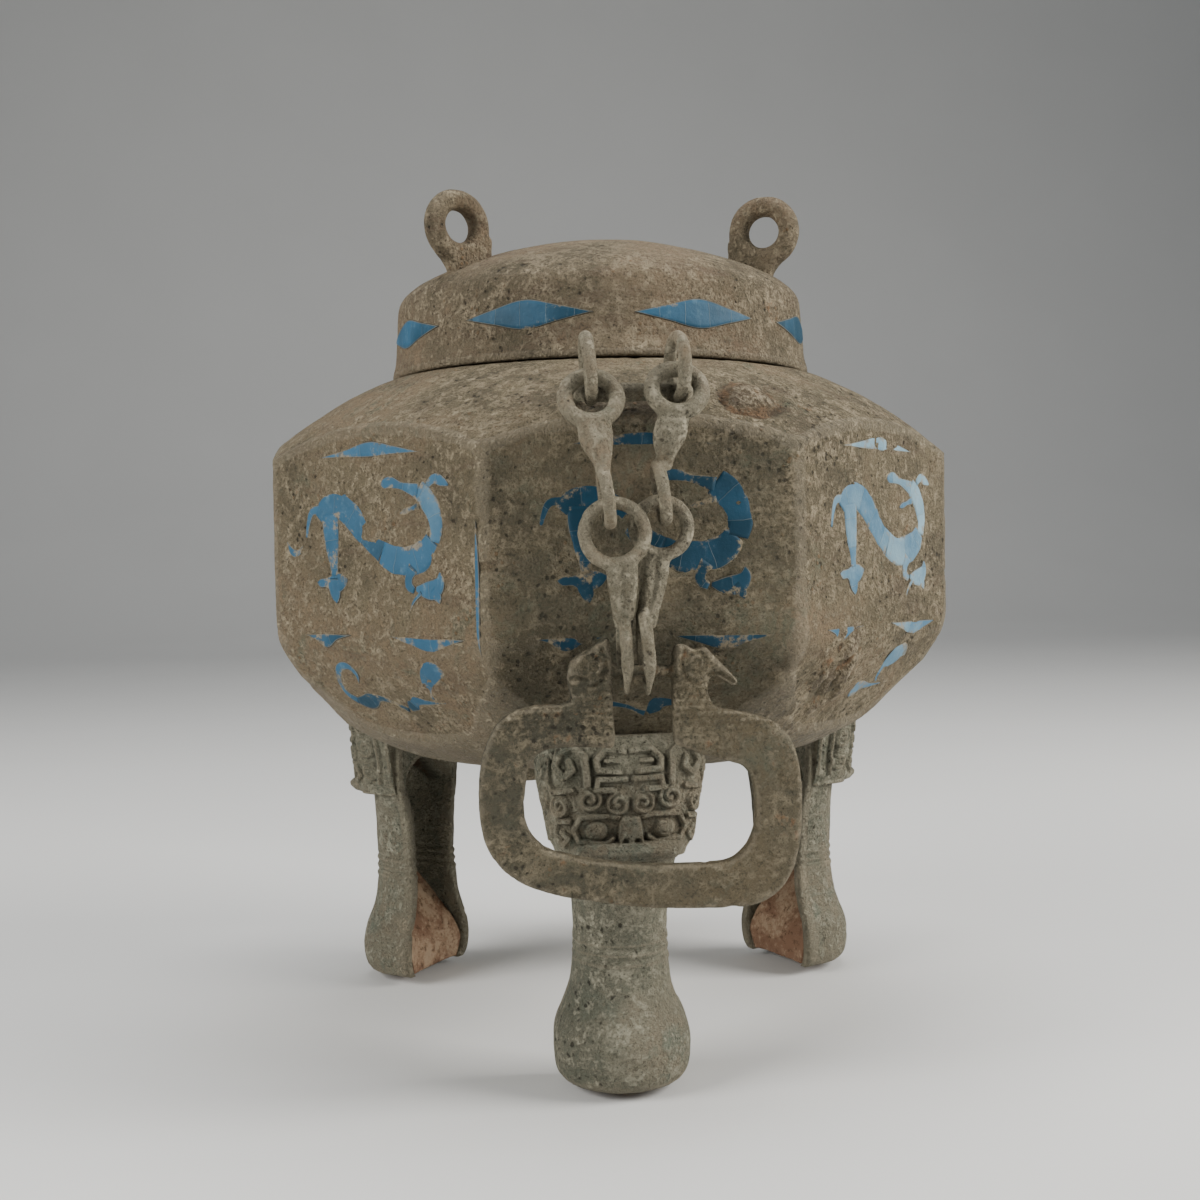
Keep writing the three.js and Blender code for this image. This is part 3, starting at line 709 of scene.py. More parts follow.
# each link: eye (x, out, height, radius, tilt, thickness), stem stations (x, out, height, half width,
# half depth) and loop (x, out, height, half depth, half height, lean)
links = {
    "upper_link_left": {
        "eye": (-20.1, 156.8, 268.3, 9.7, 27, 3.0),
        "stem": [(-19.3, 161, 260.5, 6, 3.2), (-18.9, 161.4, 252.5, 6.2, 5), (-17, 162.4, 244, 3.2, 4.4),
                 (-16.7, 163, 239.5, 2.4, 4)],
        "loop": (-15.7, 163.2, 231.6, 6.6, 9.6, -7)},
    "upper_link_right": {
        "eye": (12.1, 155.9, 271.2, 9.4, 27, 3.0),
        "stem": [(10.4, 159.4, 262.8, 5.6, 3.2), (8.6, 159.4, 254, 6.3, 5), (7.2, 158.4, 246, 3.2, 4.4),
                 (6.8, 157.8, 241.5, 2.4, 4)],
        "loop": (5.4, 157.9, 233.2, 6.7, 10.3, -8)},
    "lower_link_left": {
        "eye": (-12.9, 163.4, 218.3, 11.2, 0, 2.5),
        "stem": [(-10.6, 163.3, 207.5, 6.2, 2.6), (-10.2, 163, 198, 5.3, 3.2), (-9.9, 161.4, 188, 4, 4.4),
                 (-9.8, 160.2, 182.5, 2.9, 4)],
        "loop": (-9.5, 160, 174, 7, 13, -2)},
    "lower_link_right": {
        "eye": (5.3, 157.4, 220.2, 9.9, 0, 2.5),
        "stem": [(3, 157.2, 210.5, 5.6, 2.6), (2, 157.4, 200, 5.1, 3.2), (-0.4, 158.7, 189, 4, 4.4),
                 (-0.9, 160, 183, 2.9, 4)],
        "loop": (-1.6, 160, 174.6, 7.6, 14, -4)},
}
for name, form in links.items():
    x, out, z, radius, tilt, thick = form["eye"]
    a = math.radians(tilt)
    eye = hoop((x, -out, z), (1, 0, 0), (0, math.sin(a), math.cos(a)), radius, radius, thick)
    lx, lOut, lz, halfDepth, halfHeight, lean = form["loop"]
    b = math.radians(lean)
    loop = hoop((lx, -lOut, lz), (0, -1, 0), (math.sin(b), 0, math.cos(b)), halfDepth, halfHeight,
                link["loopThick"])
    s = np.array(form["stem"])
    lower = name.startswith("lower")

    def groove(at, normals):
        # a shallow groove down the stem's front and back
        middle = np.interp(at[:, 2], s[::-1, 2], s[::-1, 0])
        bottom, top = s[-1, 2], s[0, 2]
        along = blend(at[:, 2], bottom - 4, bottom + 3) * (1 - blend(at[:, 2], top - 4, top + 2))
        dip = np.exp(-((at[:, 0] - middle) / 1.5) ** 2) * along * np.abs(normals[:, 1])
        return castRelief(at, normals) + 0.3 - dip * link["lowerGroove" if lower else "upperGroove"]

    mesh = cast(name, [eye, stem(s), loop], 0.68, 5, groove)
    spots = pointsOf(mesh)
    spots[:, 1] = np.maximum(spots[:, 1], -link["reach"])
    if lower:
        # the links run out to a blunt point below the pin
        narrow = 1 - link["taper"] * (1 - blend(spots[:, 2], *link["taperFrom"]))
        spots[:, 0] = lx + (spots[:, 0] - lx) * narrow
    setPoints(mesh, spots)
    for side, degrees in (("front", 0), ("back", 180)):
        placeCopy(mesh, f"{side}_{name}Form", degrees, linkPatina, f"{side}_{name}")
print("chain links made")

# Bails
bail = {
    "out": 160.0, "thick": 7.6, "edge": 1.6, "pin": 2.5, "pinHeight": 167.2, "pinEnds": (-16, 9.5),
    "eyes": [(-21.5, 169.5), (16.6, 170.3)], "neck": (141, 148, 160, 165), "scale": 2.6, "tallest": 0.55,
    # lines of [across, height] corners on the heads: height or depth, width, line
    "marks": [
        (-1.1, 1.1, [(21.4, 165.6), (25.5, 166), (31.5, 162.3)]),
        (0.45, 1.2, [(19.5, 175), (25, 169.6), (31.2, 163.6)]),
        (0.4, 1.2, [(10.4, 176), (12.6, 170.8), (14.6, 166)]),
        (-0.7, 1.0, [(12.6, 176), (11, 170), (12.6, 164.6), (17, 162)]),
        (-1.0, 1.1, [(-30.6, 165.4), (-26.6, 165.8), (-24.2, 164.6)]),
        (0.4, 1.3, [(-16.6, 178.6), (-17.6, 172.5), (-19.8, 166)]),
        (-0.7, 1.0, [(-18.4, 176), (-16.4, 170), (-18, 164.6), (-22, 162.4)])],
    # one smooth outline, from the left head's inner side round the C to the right head's
    "outline": [
        (-14.2, 140), (-14.4, 152), (-14.6, 166), (-14.9, 178.6), (-16.6, 180.3), (-19, 179),
        (-22.5, 176.4), (-26.5, 174.4), (-29.9, 171.6), (-31.2, 167.5), (-31.3, 163.8), (-30.3, 160.2),
        (-30.2, 157.4), (-33.5, 156), (-39, 156), (-45, 155.5), (-51.5, 153.6), (-57.6, 149), (-62.2, 140),
        (-64.2, 130), (-64.6, 120), (-63.6, 109), (-60.5, 100.8), (-55, 94.2), (-47.5, 89.2), (-36, 85),
        (-22.8, 82.4), (-11.3, 80.4), (1.3, 79), (14, 78.4), (27, 78.2), (38.2, 79), (46.4, 83.4),
        (52, 91), (55, 101), (56.1, 118), (55.4, 131), (52.4, 140.2), (46.8, 146.8), (39.6, 150),
        (30, 152.2), (24.6, 153.4), (22.2, 156), (21, 160.2), (21.8, 164.2), (24, 164.9), (27.6, 162.6),
        (30.6, 160.9), (32.2, 162), (31.6, 164), (27, 169), (22.6, 173.6), (20.3, 176.4), (18.3, 175.6),
        (16.4, 174.9), (13.8, 176.4), (11, 177.4), (8.6, 176), (7.8, 170), (7.6, 158), (7.6, 148),
        (8, 140.4), (11.3, 138.4), (18.8, 135.6), (28.6, 132.8), (34.2, 130.6), (37.4, 125.4), (38.6, 115),
        (37, 105), (32.6, 98.8), (26.2, 95.6), (10, 95.2), (-4, 95.6), (-22.5, 98), (-35.5, 101.4),
        (-42.6, 105.2), (-46.6, 111), (-47.8, 118.5), (-47, 128), (-45.2, 134.6), (-40, 139), (-30, 140),
        (-20, 139.6)],
}


def bailShape():
    # the outline's copies at the plate's two faces and its rounded rim, joined by strips
    line = curve(bail["outline"], 420, closed=True)
    run = np.roll(line, -1, 0) - np.roll(line, 1, 0)
    run /= np.linalg.norm(run, axis=1)[:, None]
    inward = np.column_stack([-run[:, 1], run[:, 0]])
    half, edge = bail["thick"] / 2, bail["edge"]
    layers = [(edge * (1 - math.sin(turn)), half - edge * (1 - math.cos(turn)))
              for turn in np.linspace(0, np.pi / 2, 7)]
    layers += [(inset, -height) for inset, height in reversed(layers)]
    points = np.vstack([np.column_stack([line[:, 0] + inward[:, 0] * inset,
                                         np.full(len(line), -bail["out"] - height),
                                         line[:, 1] + inward[:, 1] * inset]) for inset, height in layers])
    cap = np.array(tessellate_polygon([[(float(x), float(z), 0.0) for x, _, z in points[:len(line)]]]))
    a, b, c = (points[cap[:, k]][:, [0, 2]] for k in range(3))
    cap = np.where((np.cross(b - a, c - a) > 0)[:, None], cap, cap[:, ::-1])
    return points, [gridFaces(len(layers), len(line), False, True), flip(cap),
                    cap + (len(layers) - 1) * len(line)]


def awayFrom(across, height, line):
    # the distance to a line of [across, height] corners
    best = np.full(len(across), 1e9)
    for (x0, z0), (x1, z1) in zip(line[:-1], line[1:]):
        dx, dz = x1 - x0, z1 - z0
        t = np.clip(((across - x0) * dx + (height - z0) * dz) / (dx * dx + dz * dz), 0, 1)
        best = np.minimum(best, np.hypot(across - x0 - t * dx, height - z0 - t * dz))
    return best


bailWear = {
    "broad": {"size": 16, "height": 0.22, "seed": 41}, "fine": {"size": 5, "height": 0.2, "seed": 43},
    "scars": {"size": 6, "octaves": 2, "seed": 45, "between": (0.35, 0.8), "depth": 0.5}, "sunk": 0.15}


def bailRelief(at, normals):
    x, z = at[:, 0], at[:, 2]
    marks = np.zeros(len(at))
    # a ringed eye with a round pupil
    for eyeX, eyeZ in bail["eyes"]:
        away = np.hypot(x - eyeX, z - eyeZ)
        marks += near(away, 2.3, 0, 0.8) * 0.5 + (1 - blend(away, 0, 1.4)) * 0.5
        marks -= near(away, 3.8, 0, 1.2) * 0.45
    # the beaks' mouths and ridges, the ears and the cheeks
    for height, width, line in bail["marks"]:
        marks += (1 - blend(awayFrom(x, z, line), 0, width)) * height
    # neck feathers: rows of small overlapping scales
    low, full, fading, high = bail["neck"]
    neck = blend(z, low, full) * (1 - blend(z, fading, high))
    row = z / bail["scale"]
    side = x / bail["scale"] + 0.5 * (np.floor(row) % 2)
    scale = np.hypot((side % 1) - 0.5, (row % 1) * 0.9)
    marks -= neck * near(scale, 0.62, 0.02, 0.2) * 0.5
    marks *= np.abs(normals[:, 1]) ** 2
    return np.minimum(wear(at, **bailWear) + marks, bail["tallest"])


def pinShape(steps=30):
    path = np.column_stack([np.linspace(*bail["pinEnds"], steps), np.full(steps, -bail["out"]),
                            np.full(steps, bail["pinHeight"])])
    thick = np.full(steps, bail["pin"])
    out, up = np.tile([0, 1.0, 0], (steps, 1)), np.tile([0, 0, 1.0], (steps, 1))
    return tube(path, out, up, thick, thick, 16, False)


bailMesh = cast("bail", [bailShape(), pinShape()], 0.8, 2, bailRelief)
for side, degrees in (("front", 0), ("back", 180)):
    placeCopy(bailMesh, side + "BailForm", degrees, bailPatina, side + "_bail")
print("bails made")

# Lid
lid = {"columns": 384, "lowest": 291.62, "reach": 97.5, "crown": (331, 340), "ringPlaces": (-56, 64, 184),
       "ringOut": 80.5, "ringHeight": 355.2, "ringRadius": 11.6, "ringThick": 4.8, "ringAcross": 5.0,
       "highest": 370.7}
lidOutside = curve([(96.6, 291.8), (97.4, 292.4), (97.5, 294.6), (96.6, 297.8), (96, 301), (95.3, 310),
                    (94.7, 320), (94.1, 325.4), (92.6, 328.8), (89.6, 331.6), (84.6, 335), (72, 340.8),
                    (50, 348.4), (25, 354), (0, 356.2)], 100)
lidInside = curve([(0, 352.2), (25, 350), (50, 344.2), (70, 336.8), (82.4, 331), (88.4, 326.5), (90.6, 320),
                   (91.8, 311), (93, 303), (93.2, 296), (93.4, 292.4), (94.4, 291.8)], 16)


def lidMesh():
    columns = lid["columns"] // 1
    profile = np.vstack([lidOutside[::-1][1:], lidInside[::-1][:-1]])
    turn = np.arange(columns) * 2 * np.pi / columns
    points = np.stack([profile[:, :1] * np.sin(turn), -profile[:, :1] * np.cos(turn),
                       np.repeat(profile[:, 1:], columns, 1)], -1)
    at, normals = points.reshape(-1, 3), gridNormals(points).reshape(-1, 3)
    outer = np.repeat(profile[:, 1] > 291.9, columns) & (np.arange(len(at)) < len(lidOutside) * columns)
    # faint flats on the crown and one crease across it
    crown = blend(at[:, 2], *lid["crown"])
    crease = np.abs(at[:, 0] * 0.34 + at[:, 1] * 0.94 + 14 + 4 * rough(at, 40, 2, 3))
    raised = rough(at, 36, 3, 51) * 0.35 * (0.4 + crown) + rough(at, 10, 3, 52) * 0.16 \
        - blend(rough(at, 6, 2, 55), 0.35, 0.8) * 0.4 - 0.1
    raised -= (1 - blend(crease, 0, 5)) * 0.35 * crown
    # scrapes drawn out along the turn
    raised += rough(np.column_stack([at[:, :2] * 0.07, at[:, 2:]]), 4, 3, 57) * 0.12
    raised = np.where(outer, raised, rough(at, 12, 2, 58) * 0.12)
    outwards = np.sign(np.sum(normals[:columns] * at[:columns], 1).mean())
    at = at + normals * outwards * raised[:, None]
    at[:, 2] = np.maximum(at[:, 2], lid["lowest"])
    far = np.hypot(at[:, 0], at[:, 1])
    at[:, :2] *= np.minimum(1, lid["reach"] / np.maximum(far, 1e-6))[:, None]
    at = np.vstack([at, [0, 0, 356.2], [0, 0, 352.2]])
    return skinFrom("lidShell", at, cappedFaces(len(profile), columns), 4)


def ringShapes():
    r, z = lid["ringOut"], lid["ringHeight"]
    eye = hoop((0, -r, z), (0, -1, 0), (0, 0, 1), lid["ringRadius"], lid["ringRadius"],
               lid["ringThick"], lid["ringAcross"], 96, 22)
    # the foot: its inner side straight down, its outer side curving back in to the dome
    line = curve([(-64.5, 352), (-64.2, 346), (-64.3, 340), (-65, 335), (-72, 333), (-79, 332),
                  (-83.5, 332.6), (-84, 336), (-86.6, 340), (-90.2, 343.6), (-92, 347), (-86, 345),
                  (-80, 344), (-74, 345.4), (-69, 349)], 90, closed=True)
    middle = line.mean(axis=0)
    shrunk = [middle + (line - middle) * (0.9 + 0.1 * share) for share in (0.62, 0.9, 1.0, 0.9, 0.62)]
    places = (4.6, 3.6, 0.0, -3.6, -4.6)
    rings = [np.column_stack([np.full(90, x), ring]) for ring, x in zip(shrunk, places)]
    points = np.vstack(rings + [[4.6, *middle], [-4.6, *middle]])
    return [eye, (points, rightWayOut(points, cappedFaces(5, 90)))]


addPiece("lidShell", lidMesh(), lidPatina, ["lid"])
ringMesh = cast("lidRing", ringShapes(), 0.76, 5, castRelief)
spots = pointsOf(ringMesh)
spots[:, 2] = np.minimum(spots[:, 2], lid["highest"])
setPoints(ringMesh, spots)
for k, place in enumerate(lid["ringPlaces"]):
    placeCopy(ringMesh, f"lidRing{k + 1}", place, lidPatina, "lid")
print("lid made")

# Legs
leg = {"radius": 113.0, "twist": -4, "wall": 4.5, "worn": 0.25, "top": 139.0, "frontMaskTurn": 9,
       "archFoot": 90.0, "archRise": 16.0, "cords": (49, 53, 57), "rows": 150, "around": 62}
# height, half width, depth of the half-round front, reach of the side walls behind it
legStations = curve([(0, 23.6, 22.6, 12.3), (1, 24.9, 23.9, 12.5), (3.5, 26.6, 25.6, 12.9),
                     (7.5, 27.7, 26.7, 13.1), (12, 28.1, 27.1, 13.2), (16, 28, 27, 13.2),
                     (20, 27.3, 26.3, 13), (24, 25.9, 25.1, 12.8), (28, 24.1, 23.5, 12.6),
                     (36, 21.2, 21.2, 12.2), (44, 20, 20.1, 12), (56, 19.2, 19.4, 11),
                     (78, 20.6, 19.8, 11), (97, 25.2, 18.3, 10), (120, 26.5, 15.6, 10),
                     (140, 27.6, 14, 10)], 240)


legWear = {
    "broad": {"size": 20, "height": 0.25, "seed": 61}, "fine": {"size": 7, "height": 0.25, "seed": 63},
    "scars": {"size": 6, "octaves": 3, "seed": 65, "between": (0.3, 0.65), "depth": 0.5}, "sunk": 0.1}


def atHeight(height):
    # half width, depth and reach of the side walls at each height
    return [readAt(legStations, height, k) for k in (1, 2, 3)]


def arcOutline(halfWidth, depth, back, count):
    # from the back left edge round the half-round front to the back right edge
    turn = np.linspace(0, np.pi, count - 8)
    side = np.repeat(halfWidth[:, None], 4, 1)
    run = leg["radius"] - back[:, None] * np.linspace(1, 0, 4, endpoint=False)
    return np.hstack([-side, -halfWidth[:, None] * np.cos(turn), side]), \
        np.hstack([run, leg["radius"] + depth[:, None] * np.sin(turn), run[:, ::-1]])


def legMesh(name, seed):
    rows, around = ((leg["rows"], leg["around"]))
    height = np.linspace(0, leg["top"], rows)
    halfWidth, depth, back = atHeight(height)
    wall = leg["wall"]
    x, out = arcOutline(halfWidth - leg["worn"], depth - leg["worn"], back, around)
    innerX, innerOut = arcOutline(halfWidth - wall, depth - wall, back, around)
    # the channel ends in a round arch
    across = innerX / (halfWidth - wall)[:, None]
    arch = leg["archFoot"] + leg["archRise"] * np.sqrt(np.clip(1 - across ** 2, 0, 1))
    closed = blend(height[:, None] - arch, 0, 3.5)
    innerOut = innerOut + ((leg["radius"] - back + 0.4)[:, None] - innerOut) * closed
    x, out = np.hstack([x, innerX[:, ::-1]]), np.hstack([out, innerOut[:, ::-1]])
    points = np.stack([x, -out, np.repeat(height[:, None], x.shape[1], 1)], -1)
    normals = gridNormals(points)
    outwards = np.sign(np.sum(normals[rows // 2, around // 2] * [0, -1, 0]))
    at = points.reshape(-1, 3)
    seeded = at + seed * 300
    raised = wear(seeded, **legWear)
    # thin cords round the shank with grooves between them
    for z in leg["cords"]:
        raised += near(at[:, 2], z, 0.3, 1.2) * 0.45 - near(at[:, 2], z + 2, 0.2, 0.9) * 0.4
    at = at + normals.reshape(-1, 3) * (raised * outwards)[:, None]
    # cut by the belly that the leg is set against
    far = np.hypot(at[:, 0], at[:, 1])
    ceiling = np.where(far > 121, leg["top"], readAt(bowlProfile, far) - 0.9)
    at[:, 2] = np.clip(np.minimum(at[:, 2], ceiling), 0.02, None)
    sides = x.shape[1]
    strip = np.arange(around - 1)
    foot = np.column_stack([strip, strip + 1, sides - 2 - strip, sides - 1 - strip])
    faces = [gridFaces(rows, sides, False, True), flip(foot), foot + (rows - 1) * sides]
    return skinFrom(name, at, faces, 3)


# Masks
mask = {
    "low": 91.4, "high": 139.6, "across": 200, "upright": 190, "relief": 2.6, "flush": 0.45, "behind": 25,
    "root": 107, "backOut": 106.5, "sideShare": 0.86,
    # one half of the face; raised bands: height, width, [across, height] corners
    "bands": [
        (0.85, 1.7, [(1.6, 134), (9.5, 134.6), (13, 131), (12.4, 127), (4, 126.2)]),
        (0.7, 1.2, [(4.6, 130.2), (9.2, 130.4)]),
        (0.85, 1.5, [(1.6, 123.4), (12.6, 123.6), (13.6, 119.6), (6.4, 119.2)]),
        (0.9, 1.9, [(16.8, 121.6), (17.4, 132.6), (22, 136), (27.6, 134), (29.6, 128.6), (26, 124.6),
                    (22.6, 127.4), (23.6, 130.6)]),
        (0.8, 1.5, [(32.8, 131), (33.4, 122), (31, 118.6), (23, 119.8)]),
        (0.8, 1.35, [(5.2, 108.6), (9, 109.4), (20, 109), (22.6, 104), (20.4, 99.6), (10, 98.4),
                     (7, 100.6)]),
        (0.75, 1.5, [(24.4, 107.6), (30, 107), (31.4, 101.4), (27.2, 97.8), (24.6, 100.8), (27.6, 103.2)]),
        (0.8, 1.5, [(46.4, 134), (47.4, 122), (46, 108), (43, 98)])],
    # coils: height, across, height, radius, hand
    "coils": [(0.95, 4.9, 114, 4.7, 1), (0.95, 16.2, 116, 4.9, -1), (0.85, 28.2, 113.2, 4.6, 1),
              (0.95, 39.5, 128, 5.6, 1), (0.95, 40, 115.6, 5.2, -1), (0.85, 38.6, 103.8, 4.8, 1)],
    "eye": (13.6, 103.6, 4.4),
    "nostril": (2.4, 99),
}
# height, half width, and how far out the face stands
maskEdge = curve([(91, 25.2, 133.4), (94, 27, 134.8), (97, 28.2, 135.6), (110, 30.6, 135.8),
                  (124, 33.2, 135.4), (131, 33.2, 133.6), (137, 32, 130.4), (140.4, 28.4, 126.6)], 120)


def spiral(a, z, x0, z0, radius, hand, turns=1.6):
    # a raised coil: the height follows the distance to the nearest turn of a spiral line
    dx, dz = (a - x0) * hand, z - z0
    away = np.hypot(dx, dz)
    turn = np.arctan2(dz, dx) / (2 * np.pi)
    pitch = radius / turns
    phase = (away / pitch - turn) % 1.0
    ridge = np.cos((phase - 0.5) * 2 * np.pi) * 0.5 + 0.5
    return (0.35 + 0.65 * ridge) * (1 - blend(away, radius * 0.86, radius * 1.08))


def maskRelief(across, z):
    # beast face: brow scrolls, horns, coils, eyes, nose; both halves alike
    a = np.abs(across)
    parts = [height * (1 - blend(awayFrom(a, z, line), width * 0.45, width))
             for height, width, line in mask["bands"]]
    parts += [height * spiral(a, z, *place) for height, *place in mask["coils"]]
    eyeAcross, eyeHeight, eyeRadius = mask["eye"]
    eyeAway = np.hypot(a - eyeAcross, (z - eyeHeight) * 1.15)
    parts.append(1.15 * np.sqrt(np.clip(1 - (eyeAway / eyeRadius) ** 2, 0, 1)))
    # the nose is broader below
    wider = (108 - z) * 0.13
    nose = (1 - blend(a, 3.1 + wider, 4.4 + wider)) * blend(z, 96, 97.2) * (1 - blend(z, 108, 109.6))
    parts.append(1.25 * nose)
    nostril = 1 - blend(np.hypot(a - mask["nostril"][0], z - mask["nostril"][1]), 0.9, 1.7)
    return np.max(parts, axis=0) - nostril * 0.5 - near(eyeAway, 2.0, 0.1, 0.6) * 0.14


def maskFace(across, upright):
    # plan outline: flat in front, rounding back at the sides, then straight to the back
    z = np.linspace(mask["low"], mask["high"], upright)
    halfWidth, front = (readAt(maskEdge, z, k)[:, None] for k in (1, 2))
    side = mask["sideShare"]
    s = np.linspace(-1, 1, across)[None, :]
    bend = np.clip(np.abs(s) / side, 0, 1)
    depth = front - mask["root"]
    x = np.sign(s) * halfWidth * np.sin(bend * np.pi / 2) ** 0.92
    out = mask["root"] + depth * np.clip(1 - 0.42 * bend ** 2.4 - 0.3 * bend ** 9, 0, 1) \
        - depth * 0.26 * np.clip((np.abs(s) - side) / (1 - side), 0, 1)
    return np.stack([x, -out, np.repeat(z[:, None], across, 1)], -1)


def maskMesh(name, turn, fine, seed):
    across, upright = int(mask["across"] * fine), int(mask["upright"] * fine)
    face = maskFace(across, upright)
    # the relief is laid out flat, by the distance round the face from its middle
    run = np.cumsum(np.linalg.norm(np.gradient(face, axis=1), axis=2), axis=1)
    run = run - run[:, across // 2][:, None]
    at, normals = face.reshape(-1, 3), gridNormals(face, closed=False).reshape(-1, 3)
    seeded = at + seed * 200
    worn = 0.75 + 0.35 * rough(seeded, 12, 2, 71)
    raised = (maskRelief(run.ravel(), at[:, 2]) - mask["flush"]) * mask["relief"] * worn \
        + rough(seeded, 4, 3, 73) * 0.22
    border = blend(at[:, 2], mask["low"], mask["low"] + 2) * (1 - blend(at[:, 2], 137, mask["high"]))
    raised *= 0.25 + 0.75 * border
    at = at + normals * raised[:, None]
    count = len(at)
    # the sheet behind has few columns; every column of the face joins the nearest of them
    few = mask["behind"]
    nearest = np.round(np.linspace(0, few - 1, across)).astype(int)
    picked = [int(np.argmax(nearest == c)) if c < few - 1 else across - 1 for c in range(few)]
    behind = face[:, picked] * [0.94, 0, 1] - [0, mask["backOut"], 0]
    points = turnedAbout(np.vstack([at, behind.reshape(-1, 3)]), turn, leg["radius"])
    # it keeps inside the leg's wall, clear of the channel
    behind = points[count:]
    wallWidth, wallDepth = (size - leg["wall"] / 2 for size in atHeight(behind[:, 2])[:2])
    inArc = np.clip(1 - (behind[:, 0] / wallWidth) ** 2, 0, 1)
    behind[:, 1] = np.where(inArc > 0, -leg["radius"] - wallDepth * np.sqrt(inArc), behind[:, 1])
    faces = [gridFaces(upright, across), flip(gridFaces(upright, few)) + count]
    low, here = np.arange(across - 1), np.arange(upright - 1)
    for row in (0, upright - 1):
        a, b = low + row * across, low + 1 + row * across
        c, d = count + row * few + nearest[1:], count + row * few + nearest[:-1]
        same = c == d
        parts = [np.column_stack([a, b, c])[same], np.column_stack([a, b, c, d])[~same]]
        faces += [flip(part) for part in parts] if row == 0 else parts
    for side in (0, 1):
        a, c = here * across + side * (across - 1), count + here * few + side * (few - 1)
        strip = np.column_stack([a, c, c + few, a + across])
        faces.append(strip if side else flip(strip))
    return skinFrom(name, points, faces, 4)


def turnedAbout(points, degrees, out):
    moved = points + np.array([0, out, 0])
    return turnedBy(moved, degrees) - np.array([0, out, 0])


# the ledge under the face, a lip that runs out past it: height, half width, front and back
snout = [(91.3, 20.6, 138, 118), (92, 22, 141, 116), (94.2, 23.6, 143.2, 116), (95.8, 24, 143.3, 116),
         (97.2, 23.4, 142, 116), (98.4, 21.6, 139.4, 118), (99.2, 20, 135, 120)]
snoutGrid = {"rise": 24, "wide": 60, "back": 123}


def evenRows(stations, count):
    # the stations with straight steps between them
    steps = np.linspace(0, len(stations) - 1, count)
    numbers = np.arange(len(stations))
    return np.column_stack([np.interp(steps, numbers, column) for column in zip(*stations)])


def snoutMesh(name, turn, seed):
    rise, wide = snoutGrid["rise"], snoutGrid["wide"]
    s = np.linspace(-1, 1, wide)
    z, width, front, back = (part[:, None] for part in evenRows(snout, rise).T)
    out = np.clip(1 - np.abs(s) ** 7, 0, 1) ** 0.5 * (1 - 0.08 * s ** 2)
    at = np.stack([width * s, -(back + (front - back) * out), z + 0 * s], -1).reshape(-1, 3)
    at = at + np.array([0, -1, 0.15]) * (rough(at + seed * 100, 5, 3, 81) * 0.22 - 0.15)[:, None]
    behind = at * [1, 0, 1] - [0, snoutGrid["back"], 0]
    points = turnedAbout(np.vstack([at, behind]), turn, leg["radius"])
    return skinFrom(name, points, slabFaces(rise, wide), 2)


# Clay cores
core = {"gap": 0.56, "lump": 1.5, "front": 24, "surface": 44}
# height, half width, depth, and how far behind the leg's axis the broken surface lies
coreStations = curve([(0.9, 24.2, 23.2, 11.4), (7, 26.3, 25.3, 11.8), (12, 27.9, 26.9, 11.4),
                      (22, 26, 25.2, 7.3), (33, 22.6, 22.3, -0.3), (43, 19.4, 19.6, -6.2),
                      (50, 16.8, 18.2, -9.2)], 80)


def coreMesh(name, seed):
    shrink = leg["wall"] + core["gap"]
    height, halfWidth, depth, back = coreStations.T
    halfWidth, depth = halfWidth - shrink, depth - shrink
    first = np.arcsin(np.clip(-back, 0, None) / depth)
    turn = first[:, None] + (np.pi - 2 * first)[:, None] * np.linspace(0, 1, core["front"])[None, :]
    front = np.stack([-halfWidth[:, None] * np.cos(turn),
                      -leg["radius"] - depth[:, None] * np.sin(turn)], -1)
    share = np.linspace(0.985, -0.985, core["surface"])[None, :]
    x = share * (halfWidth * np.cos(first))[:, None]
    level = np.repeat(height[:, None], core["surface"], 1)
    at = np.stack([x, np.full_like(x, seed * 90.0), level], -1).reshape(-1, 3)
    lump = rough(at, 15, 3, 91) * core["lump"] + rough(at, 4, 3, 93) * 0.5 - 1.2
    y = -leg["radius"] + back[:, None] + lump.reshape(x.shape) * (1 - np.abs(share) ** 6)
    loop = np.concatenate([front, np.stack([x, y], -1)], axis=1)
    rows, around = loop.shape[:2]
    points = np.concatenate([loop, np.repeat(height[:, None], around, 1)[..., None]], -1).reshape(-1, 3)
    points = np.vstack([points, points[:around].mean(axis=0), points[-around:].mean(axis=0)])
    return skinFrom(name, points, cappedFaces(rows, around), 3)


def clayMaterial():
    # pinkish tan, reddish in cracks and low down, with dark dirt
    sh = Shader("firedClay")
    at = sh.place()
    broad = sh.noise(at, 48, 5, 0.65, 0.5)
    fine = sh.noise(at, 300, 5, 0.75)
    hollow = sh.attribute("hollow")
    colour = (0.20, 0.115, 0.072)
    for amount, over in (
            (sh.band(broad, 0.42, 0.56), (0.29, 0.195, 0.125)),
            (sh.band(fine * 0.6 + broad * 0.4, 0.49, 0.58) * 0.7, (0.37, 0.28, 0.19)),
            (sh.band(fine, 0.38, 0.45, 1.0, 0.0) * 0.7, (0.075, 0.045, 0.027)),
            (sh.band(hollow + fine * 0.1, 0.12, 0.3) * 0.7, (0.06, 0.04, 0.03))):
        colour = sh.mix(amount, colour, over)
    return sh.finish(colour, 0.95, fine * 0.8 + broad * 0.6, 0.002)


